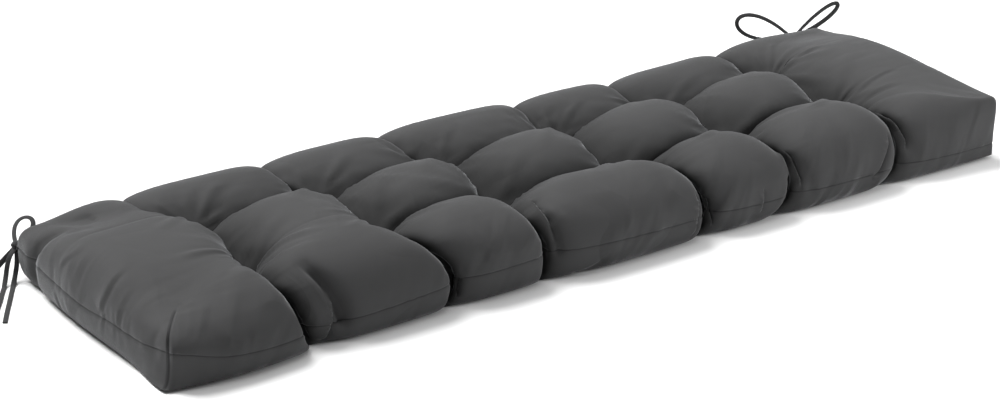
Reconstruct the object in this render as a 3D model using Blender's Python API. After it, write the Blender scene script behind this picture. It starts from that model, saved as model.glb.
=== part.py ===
"""Tufted bench cushion with a bow of tie tapes at each back corner.

Metres, +Z up.  The origin is the middle of the footprint on the surface that the cushion lies on, +X runs
along its length and +Y points to its back, where the ties are.

The cushion is one closed surface on a box lattice: a top face, four walls and an underside.  A lattice point
has three coordinates:
  column  0 .. 7, the left end, the six tack columns and the right end
  row     0 .. 3, the front, the two tack rows and the back
  drop    0 .. 1, how far down the wall it lies, from the crown's rim to the foot
The smooth filled form is worked out first.  The valleys that the tacks pull, and the folds that run from
them over the rim and down the walls, are then pressed in along its normals.
"""
import bpy
import numpy as np
from math import pi

# ---- Driving sizes -------------------------------------------------------------------------------------
LENGTH = 1.524                # seam to seam along X
WIDTH = 0.457                 # seam to seam along Y
CROWN = 0.130                 # the top of a filled lobe
HALF_LENGTH = LENGTH / 2
HALF_WIDTH = WIDTH / 2

FRONT_ROUND = 0.072           # how far in from a side the top has rounded over
BACK_ROUND = 0.098
END_ROUND = 0.056
# The four boxed corners.  round is how far in the top has rounded over there, top the height of the dart's top,
# lean how far the top leans out past the seam, foot_x and foot_y how far the foot lies inside the end and the
# side, and lift how far it stands off the surface.
CORNERS = [
    dict(column=0, row=0, round=0.026, top=0.112, lean=0.000, foot_x=-0.014, foot_y=-0.004, lift=0.005),
    dict(column=7, row=0, round=0.014, top=0.104, lean=0.010, foot_x=-0.000, foot_y=-0.000, lift=0.007),
    dict(column=0, row=3, round=0.056, top=0.096, lean=0.000, foot_x=+0.014, foot_y=+0.014, lift=0.005),
    dict(column=7, row=3, round=0.050, top=0.104, lean=0.000, foot_x=+0.010, foot_y=+0.010, lift=0.005),
]
CORNER_REACH = 0.080          # how far along a side a corner is felt
FOOT_ROUND = 0.012            # how far in from the seam the flat underside starts
UPPER_FULLNESS = 2.7          # superellipse exponents of the wall above and below the seam
LOWER_FULLNESS = 3.2
SEAM_DROP = 2 / 3             # the seam's place on the wall, as a drop
SWELL_END = 0.80              # a wall still swells a little at its foot
LIFT_CUTOFF = 0.05            # the share of a corner's lift below which the underside lies flat

# ---- Lattice -------------------------------------------------------------------------------------------
COLUMN_STEPS = 9              # faces across one lobe along X
ROW_STEPS = 7                 # faces across one lobe along Y
WALL_STEPS = 9                # faces down the wall
CROWDING = 0.085              # how far the lattice crowds towards the folds

# ---- Tacks and the valleys between them ------------------------------------------------------------------
# One row for each tack column: where its two tacks lie, and where its fold crosses the rims, the seam and
# the foot.  The folds wander, as in any filled cushion.
COLUMN_FOLDS = [
    # front_foot, front_seam, front_rim, tack, back_rim, back_seam
    (-0.530, -0.545, -0.562, -0.545, -0.604, -0.594),
    (-0.300, -0.304, -0.322, -0.327, -0.364, -0.358),
    (-0.132, -0.128, -0.140, -0.110, -0.145, -0.158),
    (+0.156, +0.168, +0.148, +0.112, +0.104, +0.112),
    (+0.312, +0.348, +0.326, +0.330, +0.293, +0.305),
    (+0.530, +0.566, +0.548, +0.550, +0.524, +0.514),
]
FOLD_STATIONS = (-2.0, -1.62, -1.1, -0.5, +0.5, +1.1, +1.62)   # along a fold: -1 and +1 are the two rims
TACK_ROWS = [
    # the y of the tacks in columns 1 to 6
    (-0.083, -0.077, -0.080, -0.083, -0.073, -0.068),
    (+0.074, +0.073, +0.075, +0.080, +0.086, +0.088),
]
VALLEY_DEPTH = 0.054          # below the crown, halfway between two tacks
TACK_DEPTH = 0.030            # how much deeper the tacks pull it
TACK_REACH = 0.042
RIM_DEPTH = 0.046             # a fold's depth at the rim, the seam and the foot
SEAM_DEPTH = 0.032
FOOT_DEPTH = 0.010
COLUMN_REACH = 0.106          # how far from a valley a lobe is back to its full height
WALL_REACH = 0.062
ROW_REACH = 0.078
LOBE_ROUND = 2.0              # shape of a lobe's flank: its rounding, and how sharp the valley is
VALLEY_SHARPNESS = 0.66
# How strongly a valley shows in each of its stretches, 1 for full depth.
COLUMN_STRENGTH = [
    # front wall, front rim, between tacks, back rim, back wall
    (1.00, 0.95, 0.86, 0.40, 0.50),
    (0.95, 0.90, 0.84, 0.44, 0.50),
    (0.92, 0.92, 0.88, 0.42, 0.46),
    (0.96, 0.90, 0.84, 0.46, 0.50),
    (0.95, 0.88, 0.86, 0.44, 0.46),
    (1.00, 0.92, 0.84, 0.48, 0.52),
]
ROW_STRENGTH = [
    # left end, then the five stretches between tack columns, then right end
    (0.02, 0.78, 0.86, 0.84, 0.82, 0.84, 0.02),
    (0.06, 0.84, 0.82, 0.86, 0.84, 0.86, 0.03),
]
STRETCH_ENDS = (-1.6, -1.0, 0.0, 1.0, 1.6)      # where the five column strengths hold, along a fold

# ---- How full each lobe is --------------------------------------------------------------------------------
LOBE_HEIGHT = [
    # added to CROWN, left to right: front row, middle row, back row
    (-0.004, +0.000, +0.000, +0.002, +0.001, +0.001, -0.006),
    (-0.002, +0.001, -0.001, +0.001, +0.001, +0.001, -0.008),
    (-0.006, -0.010, -0.010, -0.010, -0.012, -0.014, -0.009),
]
FRONT_BULGE = (0.030, 0.012, 0.008, 0.014, 0.006, 0.008, 0.006)     # how far each lobe swells past the seam line
BACK_BULGE = (0.008, 0.012, 0.009, 0.013, 0.008, 0.012, 0.008)
LEFT_BULGE = 0.016
RIGHT_BULGE = 0.008
# Height of the seam along each wall, at the column or row given.
FRONT_SEAM = [
    (0.0, 0.057), (0.4, 0.036), (1.0, 0.034), (1.5, 0.037), (2.0, 0.044), (2.6, 0.047), (3.0, 0.048),
    (3.5, 0.044), (4.2, 0.038), (5.0, 0.034), (6.0, 0.034), (7.0, 0.036),
]
BACK_SEAM = [(0.0, 0.050), (1.0, 0.042), (3.0, 0.045), (4.5, 0.040), (6.0, 0.044), (7.0, 0.050)]
LEFT_SEAM = [(0.0, 0.057), (0.45, 0.045), (1.5, 0.041), (2.5, 0.040), (3.0, 0.050)]
RIGHT_SEAM = [(0.0, 0.036), (1.0, 0.040), (2.0, 0.042), (3.0, 0.050)]

# ---- Single folds beside the valleys ------------------------------------------------------------------------
# Each is a groove along a line of (x, y, z) points, with a depth and a half width.
SINGLE_FOLDS = [
    ("second fold in the front of column 1", 0.020, 0.030,
     [(-0.535, -0.190, 0.128), (-0.500, -0.232, 0.085), (-0.484, -0.238, 0.045), (-0.505, -0.230, 0.000)]),
    ("second fold in the front of column 4", 0.012, 0.022,
     [(0.160, -0.205, 0.110), (0.186, -0.230, 0.070), (0.192, -0.230, 0.030)]),
    ("second fold in the front of column 5", 0.012, 0.022,
     [(0.330, -0.200, 0.112), (0.362, -0.228, 0.075), (0.366, -0.230, 0.045)]),
    ("second fold in the front of column 6", 0.014, 0.024,
     [(0.552, -0.200, 0.112), (0.588, -0.226, 0.080), (0.594, -0.230, 0.045)]),
    ("fold that the left tie pulls into the end", 0.013, 0.030,
     [(-0.762, 0.168, 0.000), (-0.762, 0.165, 0.040), (-0.752, 0.140, 0.088), (-0.700, 0.110, 0.126)]),
]

# ---- Tacks seen from below -----------------------------------------------------------------------------------
UNDER_TACK_DEPTH = 0.016
UNDER_TACK_REACH = 0.050
UNDER_VALLEY_DEPTH = 0.005
UNDER_VALLEY_REACH = 0.030

# ---- Tie tapes -----------------------------------------------------------------------------------------------
TAPE_WIDTH = 0.0076
TAPE_THICKNESS = 0.0018
LOOP_STEPS = 40               # faces along a loop, a tail and the short lead to the knot
TAIL_STEPS = 24
LEAD_STEPS = 6
SPLINE_STEPS = 12             # points of a smooth line between two of its own points
FINE_STEPS = 600              # steps along a line before it is cut off at the knot
KNOT_RADIUS = 0.0092
KNOT_SEGMENTS = 16
KNOT_RINGS = 10
CLEARANCE = 0.0003            # between pieces that touch
LOOP_OPENING = 1.3            # widens a loop's teardrop to its half width
FLOOR_GAP = 0.0002            # below a tape that lies on the surface
# Where each knot lies from its corner of the seam, a point that the lead passes on its way there, and how far
# from the corner the lead's square end starts.
KNOTS = {
    "left": dict(corner=(0, 3), offset=(+0.0062, +0.0168, -0.0025), bend=(+0.0031, +0.0084, -0.0012), start=0.0016),
    "right": dict(corner=(7, 3), offset=(-0.0276, +0.0284, +0.0165), bend=(-0.0020, +0.0150, +0.0020), start=0.0009),
}
LOOPS = [
    # knot, name, its tip from the knot, the way it opens, its half width
    ("left", "a", (+0.0366, +0.0340, +0.0257), (+0.82, -0.56, +0.10), 0.0135),
    ("left", "b", (-0.0460, +0.0060, -0.0410), (+0.52, +0.76, -0.39), 0.0045),
    ("right", "a", (-0.0837, +0.0486, +0.0344), (+0.10, +0.20, +1.00), 0.0185),
    ("right", "b", (+0.0988, +0.0002, +0.0432), (-0.30, +0.25, +1.00), 0.0125),
]
TAILS = [
    # knot, name, points from the knot: where the height is None the tape lies on the surface
    ("left", "a", [(-0.0162, -0.0100, -0.0085), (-0.0240, -0.0150, -0.0200), (-0.0300, -0.0200, -0.0345),
                   (-0.0410, -0.0340, None), (-0.0543, -0.0539, None), (-0.0680, -0.0748, None),
                   (-0.0859, -0.1010, None)]),
    ("left", "b", [(-0.0070, -0.0125, -0.0195), (-0.0150, -0.0200, -0.0380), (-0.0278, -0.0372, None),
                   (-0.0526, -0.0767, None), (-0.0771, -0.1155, None), (-0.0952, -0.1452, None)]),
    ("right", "a", [(-0.0100, +0.0090, -0.0200), (-0.0220, +0.0200, -0.0500), (-0.0440, +0.0300, None),
                    (-0.0700, +0.0340, None), (-0.0960, +0.0320, None)]),
    ("right", "b", [(+0.0110, +0.0090, -0.0200), (+0.0240, +0.0180, -0.0500), (+0.0460, +0.0220, None),
                    (+0.0680, +0.0160, None), (+0.0900, +0.0040, None)]),
]


# ---- The filled form -------------------------------------------------------------------------------------------
def crowded(steps, cells):
    """Lattice coordinates from 0 to cells, closer together near the whole numbers, where the folds run."""
    even = np.arange(steps * cells + 1) / steps
    return even - CROWDING * np.sin(2 * pi * even)


def smooth_lookup(table_x, table_y, x):
    """A smooth curve through a short table, level at its ends."""
    x = np.clip(x, table_x[0], table_x[-1])
    table_x = np.asarray(table_x, float)
    table_y = np.asarray(table_y, float)
    cell = np.clip(np.searchsorted(table_x, x, side="right") - 1, 0, len(table_x) - 2)
    slopes = np.zeros(len(table_x))
    slopes[1:-1] = (table_y[2:] - table_y[:-2]) / (table_x[2:] - table_x[:-2])
    span = table_x[cell + 1] - table_x[cell]
    part = (x - table_x[cell]) / span
    return (table_y[cell] * (1 + 2 * part) * (1 - part) ** 2
            + slopes[cell] * span * part * (1 - part) ** 2
            + table_y[cell + 1] * part ** 2 * (3 - 2 * part)
            + slopes[cell + 1] * span * part ** 2 * (part - 1))


def flank(distance, reach):
    """0 in a valley and 1 where the lobe beside it is full again."""
    near = 1 - np.clip(distance / reach, 0, 1)
    return (1 - near ** LOBE_ROUND) ** VALLEY_SHARPNESS


def lattice():
    """The lattice points of the box's surface, their faces, and each point's place in the lattice."""
    columns = crowded(COLUMN_STEPS, 7)
    rows = crowded(ROW_STEPS, 3)
    last_i, last_j, last_k = len(columns) - 1, len(rows) - 1, WALL_STEPS
    index = {}
    places = []
    faces = []

    def point(i, j, k):
        if (i, j, k) not in index:
            index[(i, j, k)] = len(places)
            places.append((i, j, k))
        return index[(i, j, k)]

    for i in range(last_i):
        for j in range(last_j):
            for k, flip in ((last_k, False), (0, True)):
                face = [point(i, j, k), point(i + 1, j, k), point(i + 1, j + 1, k), point(i, j + 1, k)]
                faces.append(face[::-1] if flip else face)
    for k in range(last_k):
        for i in range(last_i):
            for j, flip in ((0, False), (last_j, True)):
                face = [point(i, j, k), point(i + 1, j, k), point(i + 1, j, k + 1), point(i, j, k + 1)]
                faces.append(face[::-1] if flip else face)
        for j in range(last_j):
            for i, flip in ((0, True), (last_i, False)):
                face = [point(i, j, k), point(i, j + 1, k), point(i, j + 1, k + 1), point(i, j, k + 1)]
                faces.append(face[::-1] if flip else face)
    places = np.array(places)
    return places, faces, columns[places[:, 0]], rows[places[:, 1]]


def cornered(column, row, plain, field):
    """A size that is plain along the walls and takes each corner's own value there."""
    size = np.zeros(len(column)) + plain
    for corner in CORNERS:
        from_end = np.abs(column - corner["column"]) * LENGTH / 7
        from_side = np.abs(row - corner["row"]) * WIDTH / 3
        share = np.exp(-(from_end / CORNER_REACH) ** 2 - (from_side / CORNER_REACH) ** 2)
        size += share * (corner[field] - plain)
    return size


def foot_lift(column, row):
    """How far the foot stands off the surface, which is only near the corners."""
    highest = max(corner["lift"] for corner in CORNERS)
    return np.maximum(cornered(column, row, 0, "lift") - LIFT_CUTOFF * highest, 0)


def crown_height(column, row):
    """Height of the filled top before the valleys are pressed in."""
    lobes = np.array(LOBE_HEIGHT)
    share = np.zeros(len(column))
    total = np.zeros(len(column))
    for lobe_row in range(3):
        for lobe_column in range(7):
            away = (column - lobe_column - 0.5) ** 2 + (row - lobe_row - 0.5) ** 2
            weight = np.exp(-2.2 * away)
            share += weight * lobes[lobe_row, lobe_column]
            total += weight
    top = CROWN + share / total
    return cornered(column, row, top, "top")


def wall_profile(drop, column, row, rim_round, foot, seam, top):
    """How far out from the seam line, and how high, a wall point lies."""
    rim_round = cornered(column, row, rim_round, "round")
    lean = cornered(column, row, 0, "lean")
    foot_round = cornered(column, row, FOOT_ROUND, foot)
    lift = foot_lift(column, row)
    upper = np.clip(drop / SEAM_DROP, 0, 1)
    lower = np.clip((drop - SEAM_DROP) / (1 - SEAM_DROP), 0, 1)
    turn = (1 - upper) * pi / 2
    out = rim_round * (np.cos(turn) ** (2 / UPPER_FULLNESS) - 1) + lean * np.sin(turn) ** 2
    height = seam + (top - seam) * np.sin(turn) ** (2 / UPPER_FULLNESS)
    under = lower * pi / 2
    out_low = foot_round * (np.cos(under) ** (2 / LOWER_FULLNESS) - 1)
    height_low = lift + (seam - lift) * (1 - np.sin(under) ** (2 / LOWER_FULLNESS))
    below = drop > SEAM_DROP
    return np.where(below, out_low, out), np.where(below, height_low, height)


def across_cells(coordinate, knots):
    """Place a lattice coordinate between the folds; knots has one line of positions for each whole number."""
    cell = np.clip(np.floor(coordinate).astype(int), 0, len(knots) - 2)
    part = coordinate - cell
    everyone = np.arange(len(coordinate))
    return knots[cell, everyone] * (1 - part) + knots[cell + 1, everyone] * part


def fold_place(along):
    """The x of the six column folds at a place along them."""
    places = []
    for front_foot, front_seam, front_rim, tack, back_rim, back_seam in COLUMN_FOLDS:
        stations = (front_foot, front_seam, front_rim, tack, tack, back_rim, back_seam)
        places.append(smooth_lookup(FOLD_STATIONS, stations, along))
    return np.array(places)


def row_place(x):
    """The y of the two tack rows at a place along the cushion."""
    tack_x = [fold[3] for fold in COLUMN_FOLDS]
    return np.array([smooth_lookup(tack_x, row, x) for row in TACK_ROWS])


def filled_form(places, column, row):
    """Positions of the lattice points on the smooth filled form, and where each lies along the folds."""
    i, j, k = places.T
    last_i, last_j = i.max(), j.max()
    on_top = k == WALL_STEPS
    drop = 1 - k / WALL_STEPS
    is_front, is_back = j == 0, j == last_j
    is_left, is_right = i == 0, i == last_i
    top = crown_height(column, row)

    front_seam = smooth_lookup(*zip(*FRONT_SEAM), column)
    back_seam = smooth_lookup(*zip(*BACK_SEAM), column)
    left_seam = smooth_lookup(*zip(*LEFT_SEAM), row)
    right_seam = smooth_lookup(*zip(*RIGHT_SEAM), row)
    seam = np.select([is_front, is_back, is_left, is_right], [front_seam, back_seam, left_seam, right_seam], 0.04)

    first, last = np.zeros(len(row)), np.full(len(row), 3.0)
    start, end = np.zeros(len(row)), np.full(len(row), 7.0)
    front_out, front_height = wall_profile(drop, column, first, FRONT_ROUND, "foot_y", seam, top)
    back_out, back_height = wall_profile(drop, column, last, BACK_ROUND, "foot_y", seam, top)
    left_out, left_height = wall_profile(drop, start, row, END_ROUND, "foot_x", seam, top)
    right_out, right_height = wall_profile(drop, end, row, END_ROUND, "foot_x", seam, top)

    # How far each wall swells between its folds, most of all at the seam.
    swell_height = np.sin(pi * np.clip(drop, 0, 1) ** 1.6 * SWELL_END)
    lobe = np.sin(pi * np.clip(column - np.floor(column), 0, 1)) ** 0.8 * (column < 7)
    cell = np.clip(np.floor(column).astype(int), 0, 6)
    front_swell = np.array(FRONT_BULGE)[cell] * lobe * swell_height
    back_swell = np.array(BACK_BULGE)[cell] * lobe * swell_height
    end_swell = np.sin(pi * row / 3) ** 0.8 * swell_height

    y_front = -(HALF_WIDTH + front_out + front_swell)
    y_back = HALF_WIDTH + back_out + back_swell
    x_left = -(HALF_LENGTH + left_out + LEFT_BULGE * end_swell)
    x_right = HALF_LENGTH + right_out + RIGHT_BULGE * end_swell
    row_knots_y = row_place(across_cells(column, np.vstack([x_left, fold_place(np.zeros(len(row))), x_right])))
    y = across_cells(row, np.vstack([y_front, row_knots_y, y_back]))

    along = np.where(is_front, -1 - drop, np.where(is_back, 1 + drop, 0))
    inner = ~is_front & ~is_back
    reach = np.where(y < 0, -y_front, y_back)
    along = np.where(inner, y / reach * np.where(k == 0, 2, 1), along)
    folds = fold_place(along)
    x = across_cells(column, np.vstack([x_left, folds, x_right]))

    z = np.select([is_front, is_back, is_left, is_right],
                  [front_height, back_height, left_height, right_height], 0)
    z = np.where(on_top, top, np.where(k == 0, foot_lift(column, row), z))
    return np.column_stack([x, y, z]), along, drop


def vertex_normals(points, faces):
    """Outward unit normals, weighted by face area."""
    faces = np.asarray(faces)
    a, b, c, d = (points[faces[:, n]] for n in range(4))
    face_normals = np.cross(c - a, d - b)
    normals = np.zeros_like(points)
    for n in range(4):
        np.add.at(normals, faces[:, n], face_normals)
    return normals / np.linalg.norm(normals, axis=1, keepdims=True)


def line_distance(points, line):
    """Distance from each point to a broken line, and how far along it the nearest place is, from 0 to 1."""
    line = np.asarray(line, float)
    best = np.full(len(points), np.inf)
    where = np.zeros(len(points))
    for n in range(len(line) - 1):
        start, run = line[n], line[n + 1] - line[n]
        part = np.clip((points - start) @ run / (run @ run), 0, 1)
        away = np.linalg.norm(points - start - part[:, None] * run, axis=1)
        nearer = away < best
        best = np.where(nearer, away, best)
        where = np.where(nearer, (n + part) / (len(line) - 1), where)
    return best, where


def pressed_depth(points, places, column, row, along, drop):
    """How deep each point is pressed in by the valleys and the folds."""
    x, y, _ = points.T
    wall = drop * (places[:, 2] > 0)
    fullness = np.ones(len(points))
    folds = fold_place(along)
    reach = COLUMN_REACH + (WALL_REACH - COLUMN_REACH) * np.clip(wall * 3, 0, 1)
    for n, strengths in enumerate(COLUMN_STRENGTH):
        strength = smooth_lookup(STRETCH_ENDS, strengths, along)
        fullness *= 1 - strength * (1 - flank(np.abs(x - folds[n]), reach))
    rows = row_place(x)
    end_fade = 1 - np.clip(wall * 2.5, 0, 1)
    for n, strengths in enumerate(ROW_STRENGTH):
        strength = smooth_lookup(np.arange(7) + 0.5, strengths, column)
        near_tack = np.exp(-((column - np.clip(column, 1, 6)) * LENGTH / 7 / 0.07) ** 2)
        strength = np.where((column < 1) | (column > 6), strength + (0.8 - strength) * near_tack, strength)
        fullness *= 1 - strength * end_fade * (1 - flank(np.abs(y - rows[n]), ROW_REACH))

    pull = np.zeros(len(points))
    for n, fold in enumerate(COLUMN_FOLDS):
        for tack_row in TACK_ROWS:
            away = np.hypot(x - fold[3], y - tack_row[n])
            pull = np.maximum(pull, np.exp(-(away / TACK_REACH) ** 1.4))
    top_depth = VALLEY_DEPTH + TACK_DEPTH * pull
    wall_depth = smooth_lookup((0, 0.25, SEAM_DROP, 1), (VALLEY_DEPTH, RIM_DEPTH, SEAM_DEPTH, FOOT_DEPTH), wall)
    depth = np.where(wall > 0, wall_depth, top_depth) * (1 - fullness)

    for _, fold_depth, half_width, line in SINGLE_FOLDS:
        away, part = line_distance(points, line)
        taper = np.sin(pi * np.clip(part, 0.04, 0.96)) ** 0.5
        depth = depth + fold_depth * taper * (1 - flank(away, half_width))
    return depth


def under_depth(points, along):
    """How deep the underside is drawn in: shallow valleys through the tacks, flat between them."""
    x, y, _ = points.T
    folds = fold_place(along)
    rows = row_place(x)
    tack_x = [fold[3] for fold in COLUMN_FOLDS]
    between_rows = flank(np.clip(np.abs(y) - TACK_ROWS[1][0], 0, None), UNDER_TACK_REACH)
    between_columns = flank(np.clip(np.abs(x) - tack_x[-1], 0, None), UNDER_TACK_REACH)
    depth = np.zeros(len(points))
    for fold in folds:
        valley = (1 - flank(np.abs(x - fold), UNDER_VALLEY_REACH)) * (1 - between_rows)
        depth = np.maximum(depth, UNDER_VALLEY_DEPTH * valley)
    for row in rows:
        valley = (1 - flank(np.abs(y - row), UNDER_VALLEY_REACH)) * (1 - between_columns)
        depth = np.maximum(depth, UNDER_VALLEY_DEPTH * valley)
    for n, place in enumerate(tack_x):
        for tack_row in TACK_ROWS:
            away = np.hypot(x - place, y - tack_row[n])
            depth = np.maximum(depth, UNDER_TACK_DEPTH * (1 - flank(away, UNDER_TACK_REACH)))
    return depth


def cushion_shape():
    """Points and faces of the whole cushion."""
    places, faces, column, row = lattice()
    points, along, drop = filled_form(places, column, row)
    normals = vertex_normals(points, faces)
    underside = places[:, 2] == 0
    depth = np.where(underside, under_depth(points, along),
                     pressed_depth(points, places, column, row, along, drop))
    points = points - normals * depth[:, None]
    points[:, 2] = np.maximum(points[:, 2], 0)
    middle = (points.min(axis=0) + points.max(axis=0)) / 2
    points[:, :2] -= middle[:2]
    seam_level = places[:, 2] == round((1 - SEAM_DROP) * WALL_STEPS)
    corners = {}
    for corner_column, corner_row in ((0, 3), (7, 3)):
        at_corner = seam_level & (column == corner_column) & (row == corner_row)
        corners[(corner_column, corner_row)] = points[at_corner][0]
    return points, faces, corners


# ---- The ties ----------------------------------------------------------------------------------------------------
def unit(vector):
    return np.asarray(vector, float) / np.linalg.norm(vector)


def through(points, steps):
    """A smooth line through a few points, with even steps between them."""
    points = np.asarray(points, float)
    before = 2 * points[0] - points[1]
    after = 2 * points[-1] - points[-2]
    padded = np.vstack([before, points, after])
    line = []
    spans = len(points) - 1
    for n in np.linspace(0, spans, SPLINE_STEPS * spans + 1):
        span = min(int(n), spans - 1)
        t = n - span
        a, b, c, d = padded[span:span + 4]
        line.append(0.5 * (2 * b + (c - a) * t + (2 * a - 5 * b + 4 * c - d) * t ** 2
                           + (3 * b - a - 3 * c + d) * t ** 3))
    return even_line(np.array(line), steps)


def even_line(line, steps):
    lengths = np.concatenate([[0], np.cumsum(np.linalg.norm(np.diff(line, axis=0), axis=1))])
    wanted = np.linspace(0, lengths[-1], steps + 1)
    return np.column_stack([np.interp(wanted, lengths, line[:, axis]) for axis in range(3)])


def outside_knot(line, knot, steps):
    """The part of a line that runs clear of the knot."""
    fine = even_line(line, FINE_STEPS)
    clear = np.linalg.norm(fine - knot, axis=1) > KNOT_RADIUS + CLEARANCE
    return even_line(fine[clear], steps)


def loop_line(knot, tip, opening, half_width):
    """A teardrop from the knot to its tip and back, and the direction that the tape's width takes."""
    reach = np.linalg.norm(tip)
    ahead = unit(tip)
    across = unit(np.asarray(opening) - np.dot(opening, ahead) * ahead)
    turn = np.linspace(0, 2 * pi, FINE_STEPS)
    out = reach * (1 - np.cos(turn)) / 2
    side = LOOP_OPENING * half_width * np.sin(turn) * np.sin(turn / 2)
    line = knot + out[:, None] * ahead + side[:, None] * across
    return outside_knot(line, knot, LOOP_STEPS), np.cross(ahead, across)


def tail_line(knot, offsets):
    """A tape that falls from the knot and then lies flat on the surface."""
    flat = TAPE_THICKNESS / 2 + FLOOR_GAP
    points = [knot]
    for x, y, z in offsets:
        height = flat if z is None else max(knot[2] + z, flat)
        points.append((knot[0] + x, knot[1] + y, height))
    line = through(points, FINE_STEPS)
    line[:, 2] = np.maximum(line[:, 2], flat)
    return outside_knot(line, knot, TAIL_STEPS)


def tape(line, width_direction=None, thickness=TAPE_THICKNESS):
    """A flat tape along a line: its width lies across the line, level unless a direction is given."""
    ahead = np.gradient(line, axis=0)
    ahead /= np.linalg.norm(ahead, axis=1, keepdims=True)
    if width_direction is None:
        across = np.cross([0, 0, 1], line[-1] - line[0])
    else:
        across = np.asarray(width_direction, float)
    across = across - (ahead @ across)[:, None] * ahead
    across /= np.linalg.norm(across, axis=1, keepdims=True)
    up = np.cross(ahead, across)
    half_width, half_thickness = TAPE_WIDTH / 2, thickness / 2
    rings = [line + a * half_width * across + b * half_thickness * up
             for a, b in ((-1, -1), (1, -1), (1, 1), (-1, 1))]
    points = np.stack(rings, axis=1).reshape(-1, 3)
    faces = [[3, 2, 1, 0]]
    for n in range(len(line) - 1):
        for corner in range(4):
            following = (corner + 1) % 4
            faces.append([4 * n + corner, 4 * n + following, 4 * n + 4 + following, 4 * n + 4 + corner])
    last = 4 * (len(line) - 1)
    faces.append([last, last + 1, last + 2, last + 3])
    return points, faces


def knot_ball(knot):
    """A small round knot."""
    points = [knot + np.array([0, 0, -KNOT_RADIUS])]
    for ring in range(1, KNOT_RINGS):
        polar = pi * ring / KNOT_RINGS
        for segment in range(KNOT_SEGMENTS):
            turn = 2 * pi * segment / KNOT_SEGMENTS
            points.append(knot + KNOT_RADIUS * np.array([np.sin(polar) * np.cos(turn),
                                                         np.sin(polar) * np.sin(turn), -np.cos(polar)]))
    points.append(knot + np.array([0, 0, KNOT_RADIUS]))
    faces = []
    top = len(points) - 1
    last_ring = top - KNOT_SEGMENTS
    for segment in range(KNOT_SEGMENTS):
        following = (segment + 1) % KNOT_SEGMENTS
        faces.append([0, 1 + following, 1 + segment])
        faces.append([top, last_ring + segment, last_ring + following])
        for ring in range(KNOT_RINGS - 2):
            low = 1 + ring * KNOT_SEGMENTS
            high = low + KNOT_SEGMENTS
            faces.append([low + segment, low + following, high + following, high + segment])
    return points, faces


def make_ties(corners, material):
    for side, row in KNOTS.items():
        corner = corners[row["corner"]]
        knot = corner + row["offset"]
        mesh_object(f"tie_{side}_knot", *knot_ball(knot), material)
        line = through([corner, corner + row["bend"], knot], FINE_STEPS)
        started = np.linalg.norm(line - corner, axis=1) > row["start"]
        lead = outside_knot(line[started], knot, LEAD_STEPS)
        mesh_object(f"tie_{side}_lead", *tape(lead, (0, 0, 1), 2 * TAPE_THICKNESS), material)
        for loop_side, name, tip, opening, half_width in LOOPS:
            if loop_side == side:
                loop, plane = loop_line(knot, tip, opening, half_width)
                mesh_object(f"tie_{side}_loop_{name}", *tape(loop, plane), material)
        for tail_side, name, offsets in TAILS:
            if tail_side == side:
                mesh_object(f"tie_{side}_tail_{name}", *tape(tail_line(knot, offsets)), material)


# ---- Objects ---------------------------------------------------------------------------------------------------
def clear_scene():
    for thing in list(bpy.data.objects):
        bpy.data.objects.remove(thing, do_unlink=True)


def cloth_material(name, color, roughness):
    material = bpy.data.materials.new(name)
    material.use_nodes = True
    shader = material.node_tree.nodes["Principled BSDF"]
    shader.inputs["Base Color"].default_value = (*color, 1)
    shader.inputs["Roughness"].default_value = roughness
    shader.inputs["Metallic"].default_value = 0
    return material


def mesh_object(name, points, faces, material):
    mesh = bpy.data.meshes.new(name)
    mesh.from_pydata([tuple(point) for point in points], [], [tuple(face) for face in faces])
    mesh.materials.append(material)
    mesh.shade_smooth()
    thing = bpy.data.objects.new(name, mesh)
    bpy.context.scene.collection.objects.link(thing)
    return thing


def main():
    clear_scene()
    charcoal = (0.075, 0.075, 0.077)
    tape_grey = (0.055, 0.055, 0.057)
    points, faces, corners = cushion_shape()
    mesh_object("cushion", points, faces, cloth_material("cushion_cloth", charcoal, 0.85))
    make_ties(corners, cloth_material("tape_cloth", tape_grey, 0.85))


main()
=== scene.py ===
"""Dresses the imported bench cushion: filled cloth form, seam and darts, tie tapes, light and camera.

Metres, +Z up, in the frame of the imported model.  The cushion is built on the same box lattice as its solid,
with finer steps: column 0 .. 7 along X, row 0 .. 3 along Y, and drop 0 .. 1 from the crown's rim to the foot.
The form is worked out from the tables below, then settled as cloth under pressure, and then sewn.
"""
import bmesh
import bpy
import numpy as np
from math import cos, pi, radians, sin
from mathutils import Matrix, Vector
from mathutils.kdtree import KDTree

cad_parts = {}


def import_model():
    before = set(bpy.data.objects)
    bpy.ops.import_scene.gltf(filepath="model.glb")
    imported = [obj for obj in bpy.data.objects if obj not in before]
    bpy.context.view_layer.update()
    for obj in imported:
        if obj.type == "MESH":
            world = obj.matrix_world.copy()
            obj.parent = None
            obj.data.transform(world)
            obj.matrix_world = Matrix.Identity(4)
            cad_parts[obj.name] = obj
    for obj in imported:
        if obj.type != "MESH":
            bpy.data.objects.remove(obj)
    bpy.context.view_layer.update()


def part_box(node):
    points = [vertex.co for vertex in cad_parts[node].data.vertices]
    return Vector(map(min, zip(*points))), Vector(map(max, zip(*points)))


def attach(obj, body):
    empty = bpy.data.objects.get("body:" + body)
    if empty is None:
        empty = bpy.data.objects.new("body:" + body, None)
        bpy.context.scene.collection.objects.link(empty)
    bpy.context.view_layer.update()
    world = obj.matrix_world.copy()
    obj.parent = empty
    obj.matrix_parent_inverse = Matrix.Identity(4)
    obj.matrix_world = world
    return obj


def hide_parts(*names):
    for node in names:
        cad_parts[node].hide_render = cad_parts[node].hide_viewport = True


# ---- Driving sizes, the same as the solid's ----
LENGTH = 1.524                # seam to seam along X
WIDTH = 0.457                 # seam to seam along Y
CROWN = 0.130                 # the top of a filled lobe
COLUMNS = 7                   # lobes along X and along Y
ROWS = 3
HALF_LENGTH = LENGTH / 2
HALF_WIDTH = WIDTH / 2

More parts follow.
